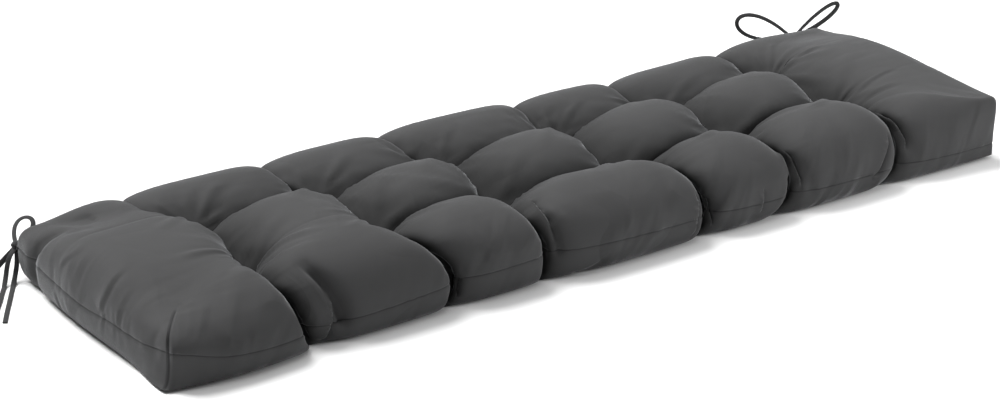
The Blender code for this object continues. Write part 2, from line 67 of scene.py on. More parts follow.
FRONT_ROUND = 0.100           # how far in from each side the top has rounded over
BACK_ROUND = 0.098
LEFT_ROUND = 0.056
RIGHT_ROUND = 0.050
# The four boxed corners.  round is how far in the top has rounded over there, top the height of the dart's
# top, lean how far the top leans out past the seam, foot_x and foot_y how far the foot lies inside the end
# and the side, and lift how far it stands off the surface.
CORNERS = [
    dict(column=0, row=0, round=0.056, top=0.098, lean=0.000, foot_x=-0.014, foot_y=-0.004, lift=0.005),
    dict(column=7, row=0, round=0.026, top=0.106, lean=0.016, foot_x=+0.000, foot_y=+0.000, lift=0.007),
    dict(column=0, row=3, round=0.056, top=0.096, lean=0.000, foot_x=+0.014, foot_y=+0.014, lift=0.005),
    dict(column=7, row=3, round=0.050, top=0.104, lean=0.000, foot_x=+0.010, foot_y=+0.010, lift=0.005),
]
CORNER_REACH = 0.110          # how far along a side a corner is felt
FOOT_ROUND = 0.017            # how far in from the seam the flat underside starts
# Superellipse exponents, more for a squarer wall: the front wall above its seam, at the columns given, the
# back and the left end above theirs, the right end above its own, and every wall below its seam.
FRONT_FULLNESS = [(0.0, 2.05), (0.9, 2.05), (1.5, 2.20), (5.6, 2.30), (6.3, 2.10), (7.0, 2.10)]
UPPER_FULLNESS = 2.7
RIGHT_FULLNESS = 3.4
LOWER_FULLNESS = 2.5
SEAM_DROP = 2 / 3             # the seam's place on the wall, as a drop
SWELL_END = 0.80              # a wall still swells a little at its foot
SWELL_LOW = 1.6               # above 1, the swell is widest below the wall's middle
LIFT_CUTOFF = 0.05            # the share of a corner's lift below which the underside lies flat

# Above its dart the left front corner is evened out, so that no edge runs on over the top.  Each pair is
# where that starts and where it is complete: in lobe widths from the end, from the middle line, in height.
SOFT_COLUMNS = (0.85, 0.45)
SOFT_FRONT = (0.050, 0.110)
SOFT_HEIGHT = (0.078, 0.098)
SOFT_SHARE = 0.9              # how far each point moves to the mean of its neighbours, in each round
SOFT_ROUNDS = 18

# ---- Lattice ----
COLUMN_STEPS = 21             # faces across one lobe along X
ROW_STEPS = 14                # faces across one lobe along Y
CROWDING = 0.100              # how far the lattice crowds towards the folds
EDGE = 0.001                  # how near a column, row or drop is to its first or last to lie on it
SEAM_STEP = 0.009             # the drop between the seam and the rings of points beside it
UPPER_WALL_STEPS = 13         # faces up the wall above and below those rings
LOWER_WALL_STEPS = 6
DROPS = np.concatenate([
    np.linspace(1, SEAM_DROP + SEAM_STEP, LOWER_WALL_STEPS + 1),
    [SEAM_DROP],
    np.linspace(SEAM_DROP - SEAM_STEP, 0, UPPER_WALL_STEPS + 1),
])

# ---- Tacks and the valleys between them ----
# One row for each tack column: where its two tacks lie, and where its fold crosses the rims, the seam and
# the foot.
COLUMN_FOLDS = [
    # front_foot, front_seam, front_rim, tack, back_rim, back_seam
    (-0.534, -0.549, -0.574, -0.545, -0.604, -0.594),
    (-0.306, -0.296, -0.342, -0.330, -0.364, -0.358),
    (-0.132, -0.128, -0.140, -0.110, -0.145, -0.158),
    (+0.156, +0.168, +0.148, +0.112, +0.104, +0.112),
    (+0.296, +0.336, +0.326, +0.330, +0.293, +0.305),
    (+0.512, +0.552, +0.550, +0.550, +0.524, +0.514),
]
FOLD_STATIONS = (-2.0, -1.62, -1.1, -0.5, +0.5, +1.1, +1.62)   # along a fold: -1 and +1 are the two rims
TACK_ROWS = [
    # the y of the tacks in columns 1 to 6
    (-0.085, -0.082, -0.086, -0.092, -0.080, -0.074),
    (+0.074, +0.073, +0.075, +0.080, +0.086, +0.088),
]
TACK_X = [fold[3] for fold in COLUMN_FOLDS]
TACKS = [(x, row[n]) for n, x in enumerate(TACK_X) for row in TACK_ROWS]
VALLEY_DEPTH = 0.064          # below the crown, halfway between two tacks
TACK_DEPTH = 0.042            # how much deeper the tacks pull it
TACK_REACH = 0.056
TACK_SHARPNESS = 1.4
RIM_DROP = 0.25               # a fold's depth at this drop, at the seam and at the foot
RIM_DEPTH = 0.052
SEAM_DEPTH = 0.040
FOOT_DEPTH = 0.016
COLUMN_REACH = 0.106          # how far from a valley a lobe is back to its full height: on the top
WALL_REACH = 0.062            # on the walls
ROW_REACH = 0.078             # and in front of and behind a row valley
FRONT_SHOULDER = 0.50         # the share of that reach which a lobe's right flank takes at the front
MIDDLE_SHOULDER = 0.72        # and elsewhere
SHOULDER_START = -1.15        # where along a fold that share starts to grow, and over how much of the fold
SHOULDER_LENGTH = 0.7
LEFT_FLANK = 1.20             # its left flank
BACK_FLANK = 0.80             # its flank towards the back
FRONT_FLANK = 1.25            # and its flank towards the front
LOBE_ROUND = 2.0              # shape of a lobe's flank: its rounding, and how sharp the valley is
VALLEY_SHARPNESS = 0.54
END_TACK_REACH = 0.030        # how far the end tacks dent the two end lobes, and how strongly
END_TACK_STRENGTH = 0.8
END_TACK_HOLD = 0.15          # how near an end tack, in lobes, the stretch beside it has its full strength
WALL_EASE = 3                 # a column valley has the walls' reach from 1/3 of the way down a wall
ROW_EASE = 2.5                # and a row valley has faded out 1/2.5 of the way down
FRONT_GATHER = 0.74           # how much the flanks of two lobes close in on the valley between them
TOP_GATHER = 0.70
GATHER_REACH = 0.030
GATHER_START = 0.6            # where the front's share starts, from the middle line, with its rim at 1
OVERHANG = 0.010              # how far a lobe leans over the column fold on its right
OVERHANG_REACH = 0.045
OVERHANG_START = 0.35         # where that starts, measured in the same way
# How far each front valley slants to the right behind its opening, as a share of its depth.
CREVICE_SLANTS = (0.05, 0.42, 0.12, 0.45, 0.42, 0.50)
CREVICE_REACH = 0.024
TOP_SLANT = 0.34              # how far the top's valleys slant under the lobes on their left and their front
TOP_SLANT_REACH = 0.040
# How strongly a valley shows in each of its stretches, 1 for full depth.
COLUMN_STRENGTH = [
    # front wall, front rim, between tacks, back rim, back wall
    (1.00, 0.95, 0.88, 0.24, 0.34),
    (0.95, 0.90, 0.86, 0.28, 0.36),
    (0.92, 0.92, 0.90, 0.34, 0.40),
    (0.96, 0.90, 0.86, 0.34, 0.40),
    (0.95, 0.88, 0.88, 0.36, 0.40),
    (1.00, 0.92, 0.86, 0.40, 0.46),
]
ROW_STRENGTH = [
    # left end, then the five stretches between tack columns, then right end
    (0.02, 0.04, 0.84, 0.82, 0.74, 0.78, 0.02),
    (0.06, 0.84, 0.82, 0.86, 0.84, 0.86, 0.03),
]
STRETCH_ENDS = (-1.6, -1.0, 0.0, 1.0, 1.6)      # where the five column strengths hold, along a fold
HOLD_EASE = 0.30              # the share of a lobe's width over which a row valley's strength changes

# ---- How full each lobe is ----
LOBE_HEIGHT = [
    # added to CROWN, left to right: front row, middle row, back row
    (-0.006, -0.002, -0.004, -0.012, -0.006, -0.005, -0.004),
    (-0.002, +0.001, -0.001, +0.001, +0.001, +0.001, -0.001),
    (-0.007, -0.010, -0.010, -0.010, -0.015, -0.020, -0.006),
]
LOBE_BLEND = 2.2              # how soon one lobe's height gives way to the next one's
# How far each wall swells past the line of its seam, lobe by lobe on the long sides.
FRONT_BULGE = (0.030, 0.012, 0.008, 0.014, 0.006, 0.008, 0.006)
BACK_BULGE = (0.008, 0.012, 0.009, 0.013, 0.008, 0.012, 0.008)
LEFT_BULGE = 0.016
RIGHT_BULGE = 0.010
LOBE_SQUARENESS = 0.5         # 1 for a round swell between two folds, less for a squarer one
END_SQUARENESS = 0.8          # the same for the two ends
# Height of the seam along each wall, at the column or row given.
FRONT_SEAM = [
    (0.0, 0.057), (0.4, 0.040), (1.0, 0.033), (1.5, 0.037), (2.0, 0.044), (2.6, 0.047), (3.0, 0.048),
    (3.5, 0.044), (4.2, 0.038), (5.0, 0.034), (6.0, 0.032), (7.0, 0.027),
]
BACK_SEAM = [(0.0, 0.050), (1.0, 0.042), (3.0, 0.045), (4.5, 0.040), (6.0, 0.044), (7.0, 0.050)]
LEFT_SEAM = [(0.0, 0.057), (0.45, 0.051), (1.0, 0.053), (1.5, 0.048), (2.2, 0.052), (3.0, 0.054)]
RIGHT_SEAM = [(0.0, 0.027), (1.0, 0.040), (2.0, 0.042), (3.0, 0.050)]

# ---- Single folds beside the valleys ----
# Each is a groove along a line of (x, y, z) points, with a depth and a half width.
SINGLE_FOLDS = [
    ("second fold in the front of column 1", 0.020, 0.030,
     [(-0.535, -0.190, 0.128), (-0.500, -0.232, 0.085), (-0.484, -0.238, 0.045), (-0.505, -0.230, 0.000)]),
    ("second fold in the front of column 4", 0.012, 0.022,
     [(0.160, -0.205, 0.110), (0.186, -0.230, 0.070), (0.192, -0.230, 0.030)]),
    ("second fold in the front of column 5", 0.012, 0.022,
     [(0.330, -0.200, 0.112), (0.362, -0.228, 0.075), (0.366, -0.230, 0.045)]),
    ("second fold in the front of column 6", 0.014, 0.024,
     [(0.552, -0.200, 0.112), (0.588, -0.226, 0.080), (0.594, -0.230, 0.045)]),
    ("fold that the left tie pulls into the end", 0.013, 0.030,
     [(-0.762, 0.168, 0.000), (-0.762, 0.165, 0.040), (-0.752, 0.140, 0.088), (-0.700, 0.110, 0.126)]),
]
FOLD_ENDS = 0.04              # the share of a single fold's length over which its end keeps the same depth

# ---- Tacks seen from below ----
UNDER_TACK_DEPTH = 0.016
UNDER_TACK_REACH = 0.050
UNDER_VALLEY_DEPTH = 0.005
UNDER_VALLEY_REACH = 0.030

# ---- Cloth settling ----
SETTLE_FRAMES = 20
SETTLE_VOXEL = 0.008          # how wide the faces of the settling cloth are
SHARE_REACH = 0.004           # how near its points share their moves
SPARE_CLOTH = 0.20            # how much longer than the form the cloth is where it is gathered
LARGEST_MOVE = 0.006
SHAPE_HOLD = 0.12             # how firmly the filling keeps the cloth to its form, 1 for fixed
HELD_FULLNESS = (0.20, 0.30)  # it is fixed where it is less full than the first of these, eased to the second
SPARE_FULLNESS = (0.40, 0.85) # and gathered in the same way
SPARE_SEAM = 0.8              # how much of that there is at the seam, and as a drop how far it reaches
SPARE_SEAM_REACH = 0.10
CLOTH_SETTINGS = dict(
    quality=5, mass=0.15, tension_stiffness=15, compression_stiffness=15, shear_stiffness=8,
    bending_stiffness=0.05, tension_damping=2, compression_damping=2, shear_damping=2, bending_damping=0.2,
    air_damping=2, use_pressure=True, uniform_pressure_force=1.0, pin_stiffness=1.0,
    shrink_min=0.0, shrink_max=-SPARE_CLOTH,
)

# ---- Pleats ----
# A pleat is a lip beside a groove, along a bowed line on one face of the cushion.  Its ends are (x, z) on the
# front, (y, z) on the left end and (x, y) on the top.  bow is how far its middle stands out to the left of
# the way from start to end.  side is the side of that way on which the lip stands: +1 left and -1 right.
PLEATS = [
    # face, start, end, bow, side, lip, groove, half width, half width of the step between them
    ("front", (-0.523, 0.116), (-0.481, 0.014), +0.012, -1, 0.0060, 0.0240, 0.0125, 0.0030),
    ("front", (-0.495, 0.058), (-0.509, 0.006), +0.002, -1, 0.0030, 0.0100, 0.0070, 0.0014),
    ("front", (-0.515, 0.080), (-0.505, 0.036), +0.000, -1, 0.0010, 0.0040, 0.0060, 0.0030),
    ("front", (-0.271, 0.048), (-0.277, 0.014), -0.002, -1, 0.0030, 0.0070, 0.0050, 0.0012),
    ("front", (-0.238, 0.110), (-0.226, 0.056), +0.002, +1, 0.0014, 0.0012, 0.0070, 0.0030),
    ("front", (-0.108, 0.099), (-0.101, 0.033), +0.002, -1, 0.0030, 0.0100, 0.0090, 0.0025),
    ("front", (-0.078, 0.009), (-0.012, 0.034), -0.009, +1, 0.0030, 0.0060, 0.0080, 0.0020),
    ("front", (+0.186, 0.066), (+0.192, 0.014), +0.001, -1, 0.0040, 0.0090, 0.0060, 0.0014),
    ("front", (+0.161, 0.080), (+0.146, 0.012), +0.001, -1, 0.0020, 0.0100, 0.0060, 0.0014),
    ("front", (+0.357, 0.094), (+0.367, 0.040), +0.002, -1, 0.0040, 0.0080, 0.0060, 0.0014),
    ("front", (+0.337, 0.100), (+0.346, 0.058), +0.002, -1, 0.0020, 0.0090, 0.0050, 0.0014),
    ("front", (+0.287, 0.062), (+0.280, 0.020), +0.000, -1, 0.0025, 0.0050, 0.0050, 0.0014),
    ("front", (+0.371, 0.084), (+0.379, 0.024), +0.001, -1, 0.0010, 0.0040, 0.0070, 0.0030),
    ("front", (+0.550, 0.088), (+0.504, 0.028), +0.001, -1, 0.0020, 0.0120, 0.0070, 0.0014),
    ("front", (+0.564, 0.108), (+0.586, 0.050), +0.007, -1, 0.0030, 0.0120, 0.0070, 0.0016),
    ("left", (+0.170, 0.006), (+0.140, 0.110), -0.010, -1, 0.0020, 0.0150, 0.0120, 0.0036),
    ("left", (+0.034, 0.056), (+0.030, 0.118), +0.005, +1, 0.0020, 0.0020, 0.0070, 0.0032),
    ("left", (-0.048, 0.054), (-0.056, 0.122), +0.006, +1, 0.0024, 0.0024, 0.0080, 0.0032),
    ("left", (-0.104, 0.058), (-0.095, 0.108), +0.001, +1, 0.0018, 0.0016, 0.0070, 0.0030),
    ("left", (+0.082, 0.080), (+0.050, 0.118), +0.001, +1, 0.0018, 0.0014, 0.0070, 0.0030),
    ("left", (+0.062, 0.040), (+0.050, 0.006), +0.001, +1, 0.0020, 0.0018, 0.0060, 0.0026),
    ("left", (+0.094, 0.040), (+0.082, 0.008), +0.001, -1, 0.0018, 0.0016, 0.0060, 0.0026),
    ("top", (-0.100, -0.150), (-0.099, -0.208), -0.006, -1, 0.0035, 0.0090, 0.0060, 0.0014),
    ("top", (-0.097, -0.136), (-0.064, -0.214), -0.011, -1, 0.0020, 0.0022, 0.0070, 0.0030),
    ("top", (-0.541, -0.110), (-0.455, -0.140), +0.000, -1, 0.0016, 0.0024, 0.0070, 0.0030),
    ("top", (-0.173, +0.180), (-0.150, +0.104), +0.002, +1, 0.0016, 0.0026, 0.0060, 0.0022),
    ("top", (-0.134, +0.166), (-0.147, +0.106), -0.002, -1, 0.0014, 0.0020, 0.0050, 0.0020),
    ("top", (+0.060, +0.172), (+0.088, +0.102), +0.002, +1, 0.0016, 0.0026, 0.0060, 0.0022),
    ("top", (+0.078, +0.178), (+0.099, +0.110), +0.001, +1, 0.0014, 0.0020, 0.0050, 0.0020),
    ("top", (+0.566, -0.104), (+0.657, -0.112), +0.002, +1, 0.0016, 0.0024, 0.0080, 0.0030),
    ("top", (+0.572, -0.084), (+0.690, -0.066), +0.002, +1, 0.0012, 0.0020, 0.0080, 0.0030),
    ("top", (+0.560, +0.078), (+0.660, +0.092), +0.001, +1, 0.0014, 0.0022, 0.0090, 0.0030),
    ("top", (+0.544, +0.150), (+0.566, +0.200), +0.002, -1, 0.0014, 0.0022, 0.0080, 0.0030),
]
FACES = {
    # name: the two axes its places are measured on, the way it faces, and how far out that way it starts
    "front": ((0, 2), (0, -1, 0), 0.135),
    "left": ((1, 2), (-1, 0, 0), 0.670),
    "top": ((0, 1), (0, 0, 1), 0.060),
}
PLEAT_STEPS = 16              # straight steps along a pleat's bowed line
PLEAT_FADE = 0.22             # the share of a pleat's length over which each of its ends fades
PLEAT_REACH = 3               # in half widths, how far from its line a pleat is felt
PLEAT_LEAN = 0.5              # how far the lip of a crisp pleat leans over its groove, as a share of both
SQUARE_ON = 0.35              # a pleat is whole where its face's way and the cloth's agree by this much
CRISP = 0.0018                # a pleat whose step is narrower than this leans over
REFINED = (0.009, 0.005)      # the mesh is halved this near to a crisp pleat, twice

# ---- Small wrinkles, from seeded draws ----
SEED = 7
# A pair is the least and the most that a draw may give.
TACK_PUCKERS = 9              # rays of gathered cloth round each tack
TACK_PUCKER_HEIGHT = 0.0022
TACK_PUCKER_LENGTHS = (0.022, 0.050)
TACK_PUCKER_WIDTHS = (0.0035, 0.0065)
TACK_PUCKER_START = 0.014     # how far from its tack a ray is at its full height
TACK_PUCKER_SPREAD = 0.045    # how far from it a ray has grown wider by its own width
TACK_PUCKER_TURN = 1.2        # how many radians to each side of it a ray is felt
SEAM_PUCKER_SPACING = 0.026
SEAM_PUCKER_HEIGHT = 0.0016
SEAM_PUCKER_LONGEST = ((1, 0.045), (-1, 0.024))     # above the seam and below it
SEAM_PUCKER_WIDTHS = (0.0030, 0.0062)
SEAM_PUCKER_LEANS = (-0.1, 0.8)
SEAM_PUCKER_START = 0.004     # how far it reaches past the seam to the other side
SEAM_PUCKER_SPREAD = 0.03     # how far from the seam it has grown wider by its own width
SEAM_PUCKER_CORNER = 0.03     # how near a corner they fade out
WALL_LENGTH = 0.19            # of cloth from the rim to the foot
FOLD_PUCKER_HEIGHT = 0.0009
FOLD_PUCKER_WAVES = 7
FOLD_PUCKER_PITCHES = (0.018, 0.042)

# ---- Fine wrinkles in the cloth's surface ----
RIDGE_REACH = 0.045           # how far from a valley they are felt
RIDGE_FLOOR = 0.12            # their share in the middle of a lobe's top, and what a valley adds to it
RIDGE_VALLEY = 0.30
RIDGE_END_LOBES = 0.7         # the share of an end lobe where row valleys add nothing
RIDGE_WALL_FLOOR = 0.45       # the share of the wrinkles up a wall at its rim, which grows to 1 at the seam
RIDGE_SEAM_REACH = 0.22       # as a drop
RIDGE_ALONG_SIDE = 0.15       # the share of those along a wall: the long sides and the ends
RIDGE_ALONG_END = 0.10
RIDGE_UP_END = 0.55           # what an end wall has of those up a wall
RIDGE_EASE = 0.45             # the drop down the walls by which they are fully there
RIDGE_HEIGHT = 0.0100
RIDGE_PITCH = 0.034           # across them, and along them
RIDGE_LENGTH = 0.110
RIDGE_PATCHES = 7             # how many patches of them there are in a metre
RIDGE_LEAN = 0.45             # how far they lean to the right as they run up the front

# ---- Sewing ----
SEAM_GROOVE = 0.0016
DART_GROOVE = 0.0014
DART_END = 0.14               # the drop at which a dart ends, just below the rim

# ---- Tie tapes ----
TAPE_WIDTH = 0.0076
TAPE_THICKNESS = 0.0018
FINE_STEPS = 600              # steps along a line before it is cut into even ones
SPLINE_STEPS = 12             # points of a smooth line between two of its own points
LOOP_OPENING = 1.3            # widens a loop's teardrop to its half width
FLOOR_GAP = 0.0002            # below a tape that lies on the surface
# Where each knot lies from its corner of the seam, a point that the lead passes on its way there, and how far
# from the corner the lead's square end starts.
KNOTS = {
    "left": dict(offset=(+0.0062, +0.0168, -0.0025), bend=(+0.0031, +0.0084, -0.0012), start=0.0016),
    "right": dict(offset=(-0.0276, +0.0284, +0.0165), bend=(-0.0020, +0.0150, +0.0020), start=0.0009),
}
LOOPS = {
    # knot and name: its tip from the knot, the way it opens, its half width, the degrees the tape is turned
    ("left", "a"): ((+0.0366, +0.0340, +0.0257), (+0.82, -0.56, +0.10), 0.0135, 80),
    ("left", "b"): ((-0.0460, +0.0060, -0.0410), (+0.52, +0.76, -0.39), 0.0045, 0),
    ("right", "a"): ((-0.0837, +0.0486, +0.0344), (+0.10, +0.20, +1.00), 0.0185, 55),
    ("right", "b"): ((+0.0988, +0.0002, +0.0432), (-0.30, +0.25, +1.00), 0.0090, 78),
}
TAILS = {
    # knot and name: points from the knot, where the height is None the tape lies on the surface
    ("left", "a"): [(-0.0162, -0.0100, -0.0085), (-0.0240, -0.0150, -0.0200), (-0.0300, -0.0200, -0.0345),
                    (-0.0410, -0.0340, None), (-0.0543, -0.0539, None), (-0.0680, -0.0748, None),
                    (-0.0859, -0.1010, None)],
    ("left", "b"): [(-0.0070, -0.0125, -0.0195), (-0.0150, -0.0200, -0.0380), (-0.0278, -0.0372, None),
                    (-0.0526, -0.0767, None), (-0.0771, -0.1155, None), (-0.0952, -0.1452, None)],
    ("right", "a"): [(-0.0100, +0.0090, -0.0200), (-0.0220, +0.0200, -0.0500), (-0.0440, +0.0300, None),
                     (-0.0700, +0.0340, None), (-0.0960, +0.0320, None)],
    ("right", "b"): [(+0.0110, +0.0090, -0.0200), (+0.0240, +0.0180, -0.0500), (+0.0460, +0.0220, None),
                     (+0.0680, +0.0160, None), (+0.0900, +0.0040, None)],
}
TAPE_POINT_SPACING = 0.0022
TAPE_CORNER_STEPS = 4         # faces round each of the tape's folded edges
# The knot is a band of tape wound round a core.
KNOT_STEPS = 72
KNOT_WINDING = 2.3 * pi       # how far round the band goes
KNOT_BAND_RADIUS = 0.0074     # at its start, and how much it grows
KNOT_BAND_GROWTH = 0.0014
KNOT_SLIDE = 0.0016           # how far the band moves along the core
KNOT_FLATNESS = 0.86          # the knot's depth as a share of its height
KNOT_CORE = (0.0092, 0.0070)  # half length and radius
KNOT_CORE_RINGS = 14
KNOT_CORE_SIDES = 20

# ---- Camera and light ----
CAMERA_PLACE = (-2.7552, -3.9450, 2.042)
CAMERA_AZIMUTH = -34.41       # degrees round the object, 0 looks along +Y
CAMERA_ELEVATION = 22.74
CAMERA_LENS = 121.1           # millimetres on the 36 mm sensor
CAMERA_SENSOR = 36.0
FLOOR_HALF = 60.0
HORIZON = (0.30, 0.30, 0.305) # the sky's tone at the horizon, and its strength
SKY_STRENGTH = 0.17
# Two lamps far away: the way each lies, its strength, and how many degrees wide it is.
OVERHEAD = ((-0.10, 0.10, 0.99), 1.0, 60)
FROM_BEHIND = ((-0.16, 0.58, 0.80), 4.6, 34)
FILL = ((1.7, -1.5, 0.9), (0.6, -0.2, 0.05), 1.2, 24)     # its place, its aim, how wide it is, its power

# ---- Colours of the cloth, and the shade painted into its valleys ----
CLOTH_COLOR = (0.043, 0.043, 0.0436)
TAPE_COLOR = (0.026, 0.026, 0.027)
PAINTED_VALLEY_SHADE = (0.004, 0.004, 0.004)    # painted shade: the near black at the bottom of a closed valley
STITCH_COLOR = (0.006, 0.006, 0.007)    # in the seam and the darts
DYE_SHADE = 0.10              # how much lighter and darker the dye is in places
THREAD_PITCH = 0.0009         # across two threads


# ---- The filled form ----
def crowded(steps, cells):
    """Lattice coordinates from 0 to cells, closer together near the whole numbers, where the folds run."""
    even = np.arange(steps * cells + 1) / steps
    return even - CROWDING * np.sin(2 * pi * even)


def smooth_lookup(table_x, table_y, x):
    """A smooth curve through a short table, level at its ends."""
    x = np.clip(x, table_x[0], table_x[-1])
    table_x = np.asarray(table_x, float)
    table_y = np.asarray(table_y, float)
    cell = np.clip(np.searchsorted(table_x, x, side="right") - 1, 0, len(table_x) - 2)
    slopes = np.zeros(len(table_x))
    slopes[1:-1] = (table_y[2:] - table_y[:-2]) / (table_x[2:] - table_x[:-2])
    span = table_x[cell + 1] - table_x[cell]
    part = (x - table_x[cell]) / span
    return (table_y[cell] * (1 + 2 * part) * (1 - part) ** 2
            + slopes[cell] * span * part * (1 - part) ** 2
            + table_y[cell + 1] * part ** 2 * (3 - 2 * part)
            + slopes[cell + 1] * span * part ** 2 * (part - 1))


def bell(distance, reach):
    """1 at no distance, and less than a half from the reach on."""
    return np.exp(-(distance / reach) ** 2)


def crease(side):
    """The section of a small wrinkle: a ridge between two shallow troughs."""
    return (1 - 2 * side ** 2) * np.exp(-side ** 2)


def flank(distance, reach):
    """0 in a valley and 1 where the lobe beside it is full again."""
    near = 1 - np.clip(distance / reach, 0, 1)
    return (1 - near ** LOBE_ROUND) ** VALLEY_SHARPNESS


def lattice():
    """The lattice points of the box's surface, their faces, and each point's place in the lattice."""
    columns = crowded(COLUMN_STEPS, COLUMNS)
    rows = crowded(ROW_STEPS, ROWS)
    last_i, last_j, last_k = len(columns) - 1, len(rows) - 1, len(DROPS) - 1
    index = {}
    places = []
    faces = []

    def point(i, j, k):
        if (i, j, k) not in index:
            index[(i, j, k)] = len(places)
            places.append((i, j, k))
        return index[(i, j, k)]

    def add(flip, *corners):
        face = [point(*corner) for corner in corners]
        faces.append(face[::-1] if flip else face)

    for i in range(last_i):
        for j in range(last_j):
            for k, flip in ((last_k, False), (0, True)):
                add(flip, (i, j, k), (i + 1, j, k), (i + 1, j + 1, k), (i, j + 1, k))
    for k in range(last_k):
        for i in range(last_i):
            for j, flip in ((0, False), (last_j, True)):
                add(flip, (i, j, k), (i + 1, j, k), (i + 1, j, k + 1), (i, j, k + 1))
        for j in range(last_j):
            for i, flip in ((0, True), (last_i, False)):
                add(flip, (i, j, k), (i, j + 1, k), (i, j + 1, k + 1), (i, j, k + 1))
    places = np.array(places)
    return places, np.array(faces), columns[places[:, 0]], rows[places[:, 1]]


def cornered(column, row, plain, field):
    """A size that is plain along the walls and takes each corner's own value there."""
    size = np.zeros(len(column)) + plain
    for corner in CORNERS:
        from_end = np.abs(column - corner["column"]) * LENGTH / COLUMNS
        from_side = np.abs(row - corner["row"]) * WIDTH / ROWS
        share = np.exp(-(from_end / CORNER_REACH) ** 2 - (from_side / CORNER_REACH) ** 2)
        size += share * (corner[field] - plain)
    return size


def foot_lift(column, row):
    """How far the foot stands off the surface, which is only near the corners."""
    highest = max(corner["lift"] for corner in CORNERS)
    return np.maximum(cornered(column, row, 0, "lift") - LIFT_CUTOFF * highest, 0)


def crown_height(column, row):
    """Height of the filled top before the valleys are pressed in."""
    lobes = np.array(LOBE_HEIGHT)
    share = np.zeros(len(column))
    total = np.zeros(len(column))
    for lobe_row in range(ROWS):
        for lobe_column in range(COLUMNS):
            away = (column - lobe_column - 0.5) ** 2 + (row - lobe_row - 0.5) ** 2
            weight = np.exp(-LOBE_BLEND * away)
            share += weight * lobes[lobe_row, lobe_column]
            total += weight
    top = CROWN + share / total
    return cornered(column, row, top, "top")


def wall_profile(drop, column, row, rim_round, foot, seam, top, fullness):
    """How far out from the seam line, and how high, a wall point lies."""
    rim_round = cornered(column, row, rim_round, "round")
    lean = cornered(column, row, 0, "lean")
    foot_round = cornered(column, row, FOOT_ROUND, foot)
    lift = foot_lift(column, row)
    upper = np.clip(drop / SEAM_DROP, 0, 1)
    lower = np.clip((drop - SEAM_DROP) / (1 - SEAM_DROP), 0, 1)
    turn = (1 - upper) * pi / 2
    out = rim_round * (np.cos(turn) ** (2 / fullness) - 1) + lean * np.sin(turn) ** 2
    height = seam + (top - seam) * np.sin(turn) ** (2 / fullness)
    under = lower * pi / 2
    out_low = foot_round * (np.cos(under) ** (2 / LOWER_FULLNESS) - 1)
    height_low = lift + (seam - lift) * (1 - np.sin(under) ** (2 / LOWER_FULLNESS))
    below = drop > SEAM_DROP
    return np.where(below, out_low, out), np.where(below, height_low, height)


def across_cells(coordinate, knots):
    """Place a lattice coordinate between the folds; knots has one line of positions for each whole number."""
    cell = np.clip(np.floor(coordinate).astype(int), 0, len(knots) - 2)
    part = coordinate - cell
    everyone = np.arange(len(coordinate))
    return knots[cell, everyone] * (1 - part) + knots[cell + 1, everyone] * part


def fold_place(along):
    """The x of the six column folds at a place along them."""
    places = []
    for front_foot, front_seam, front_rim, tack, back_rim, back_seam in COLUMN_FOLDS:
        stations = (front_foot, front_seam, front_rim, tack, tack, back_rim, back_seam)
        places.append(smooth_lookup(FOLD_STATIONS, stations, along))
    return np.array(places)


def row_place(x):
    """The y of the two tack rows at a place along the cushion."""
    return np.array([smooth_lookup(TACK_X, row, x) for row in TACK_ROWS])


def filled_form(places, column, row):
    """Positions of the lattice points on the smooth filled form, and where each lies along the folds."""
    i, j, k = places.T
    last_i, last_j, last_k = i.max(), j.max(), k.max()
    on_top = k == last_k
    drop = DROPS[k]
    is_front, is_back = j == 0, j == last_j
    is_left, is_right = i == 0, i == last_i
    top = crown_height(column, row)

    walls = [is_front, is_back, is_left, is_right]
    tables = ((FRONT_SEAM, column), (BACK_SEAM, column), (LEFT_SEAM, row), (RIGHT_SEAM, row))
    seam = np.select(walls, [smooth_lookup(*zip(*table), place) for table, place in tables])

    first, last = np.zeros(len(row)), np.full(len(row), float(ROWS))
    start, end = np.zeros(len(row)), np.full(len(row), float(COLUMNS))
    fullness = smooth_lookup(*zip(*FRONT_FULLNESS), column)
    front_out, front_height = wall_profile(drop, column, first, FRONT_ROUND, "foot_y", seam, top, fullness)
    back_out, back_height = wall_profile(drop, column, last, BACK_ROUND, "foot_y", seam, top, UPPER_FULLNESS)
    left_out, left_height = wall_profile(drop, start, row, LEFT_ROUND, "foot_x", seam, top, UPPER_FULLNESS)
    right_out, right_height = wall_profile(drop, end, row, RIGHT_ROUND, "foot_x", seam, top, RIGHT_FULLNESS)

    # How far each wall swells between its folds, most of all at the seam.
    swell_height = np.sin(pi * np.clip(drop, 0, 1) ** SWELL_LOW * SWELL_END)
    lobe = np.sin(pi * np.clip(column - np.floor(column), 0, 1)) ** LOBE_SQUARENESS * (column < COLUMNS)
    cell = np.clip(np.floor(column).astype(int), 0, COLUMNS - 1)
    front_swell = np.array(FRONT_BULGE)[cell] * lobe * swell_height
    back_swell = np.array(BACK_BULGE)[cell] * lobe * swell_height
    end_swell = np.sin(pi * row / ROWS) ** END_SQUARENESS * swell_height

    y_front = -(HALF_WIDTH + front_out + front_swell)
    y_back = HALF_WIDTH + back_out + back_swell
    x_left = -(HALF_LENGTH + left_out + LEFT_BULGE * end_swell)
    x_right = HALF_LENGTH + right_out + RIGHT_BULGE * end_swell
    middle_x = across_cells(column, np.vstack([x_left, fold_place(np.zeros(len(row))), x_right]))
    y = across_cells(row, np.vstack([y_front, row_place(middle_x), y_back]))

    along = np.where(is_front, -1 - drop, np.where(is_back, 1 + drop, 0))
    inner = ~is_front & ~is_back
    reach = np.where(y < 0, -y_front, y_back)
    along = np.where(inner, y / reach * np.where(k == 0, 2, 1), along)
    folds = fold_place(along)
    x = across_cells(column, np.vstack([x_left, folds, x_right]))

    z = np.select(walls, [front_height, back_height, left_height, right_height])
    z = np.where(on_top, top, np.where(k == 0, foot_lift(column, row), z))
    return np.column_stack([x, y, z]), along, drop


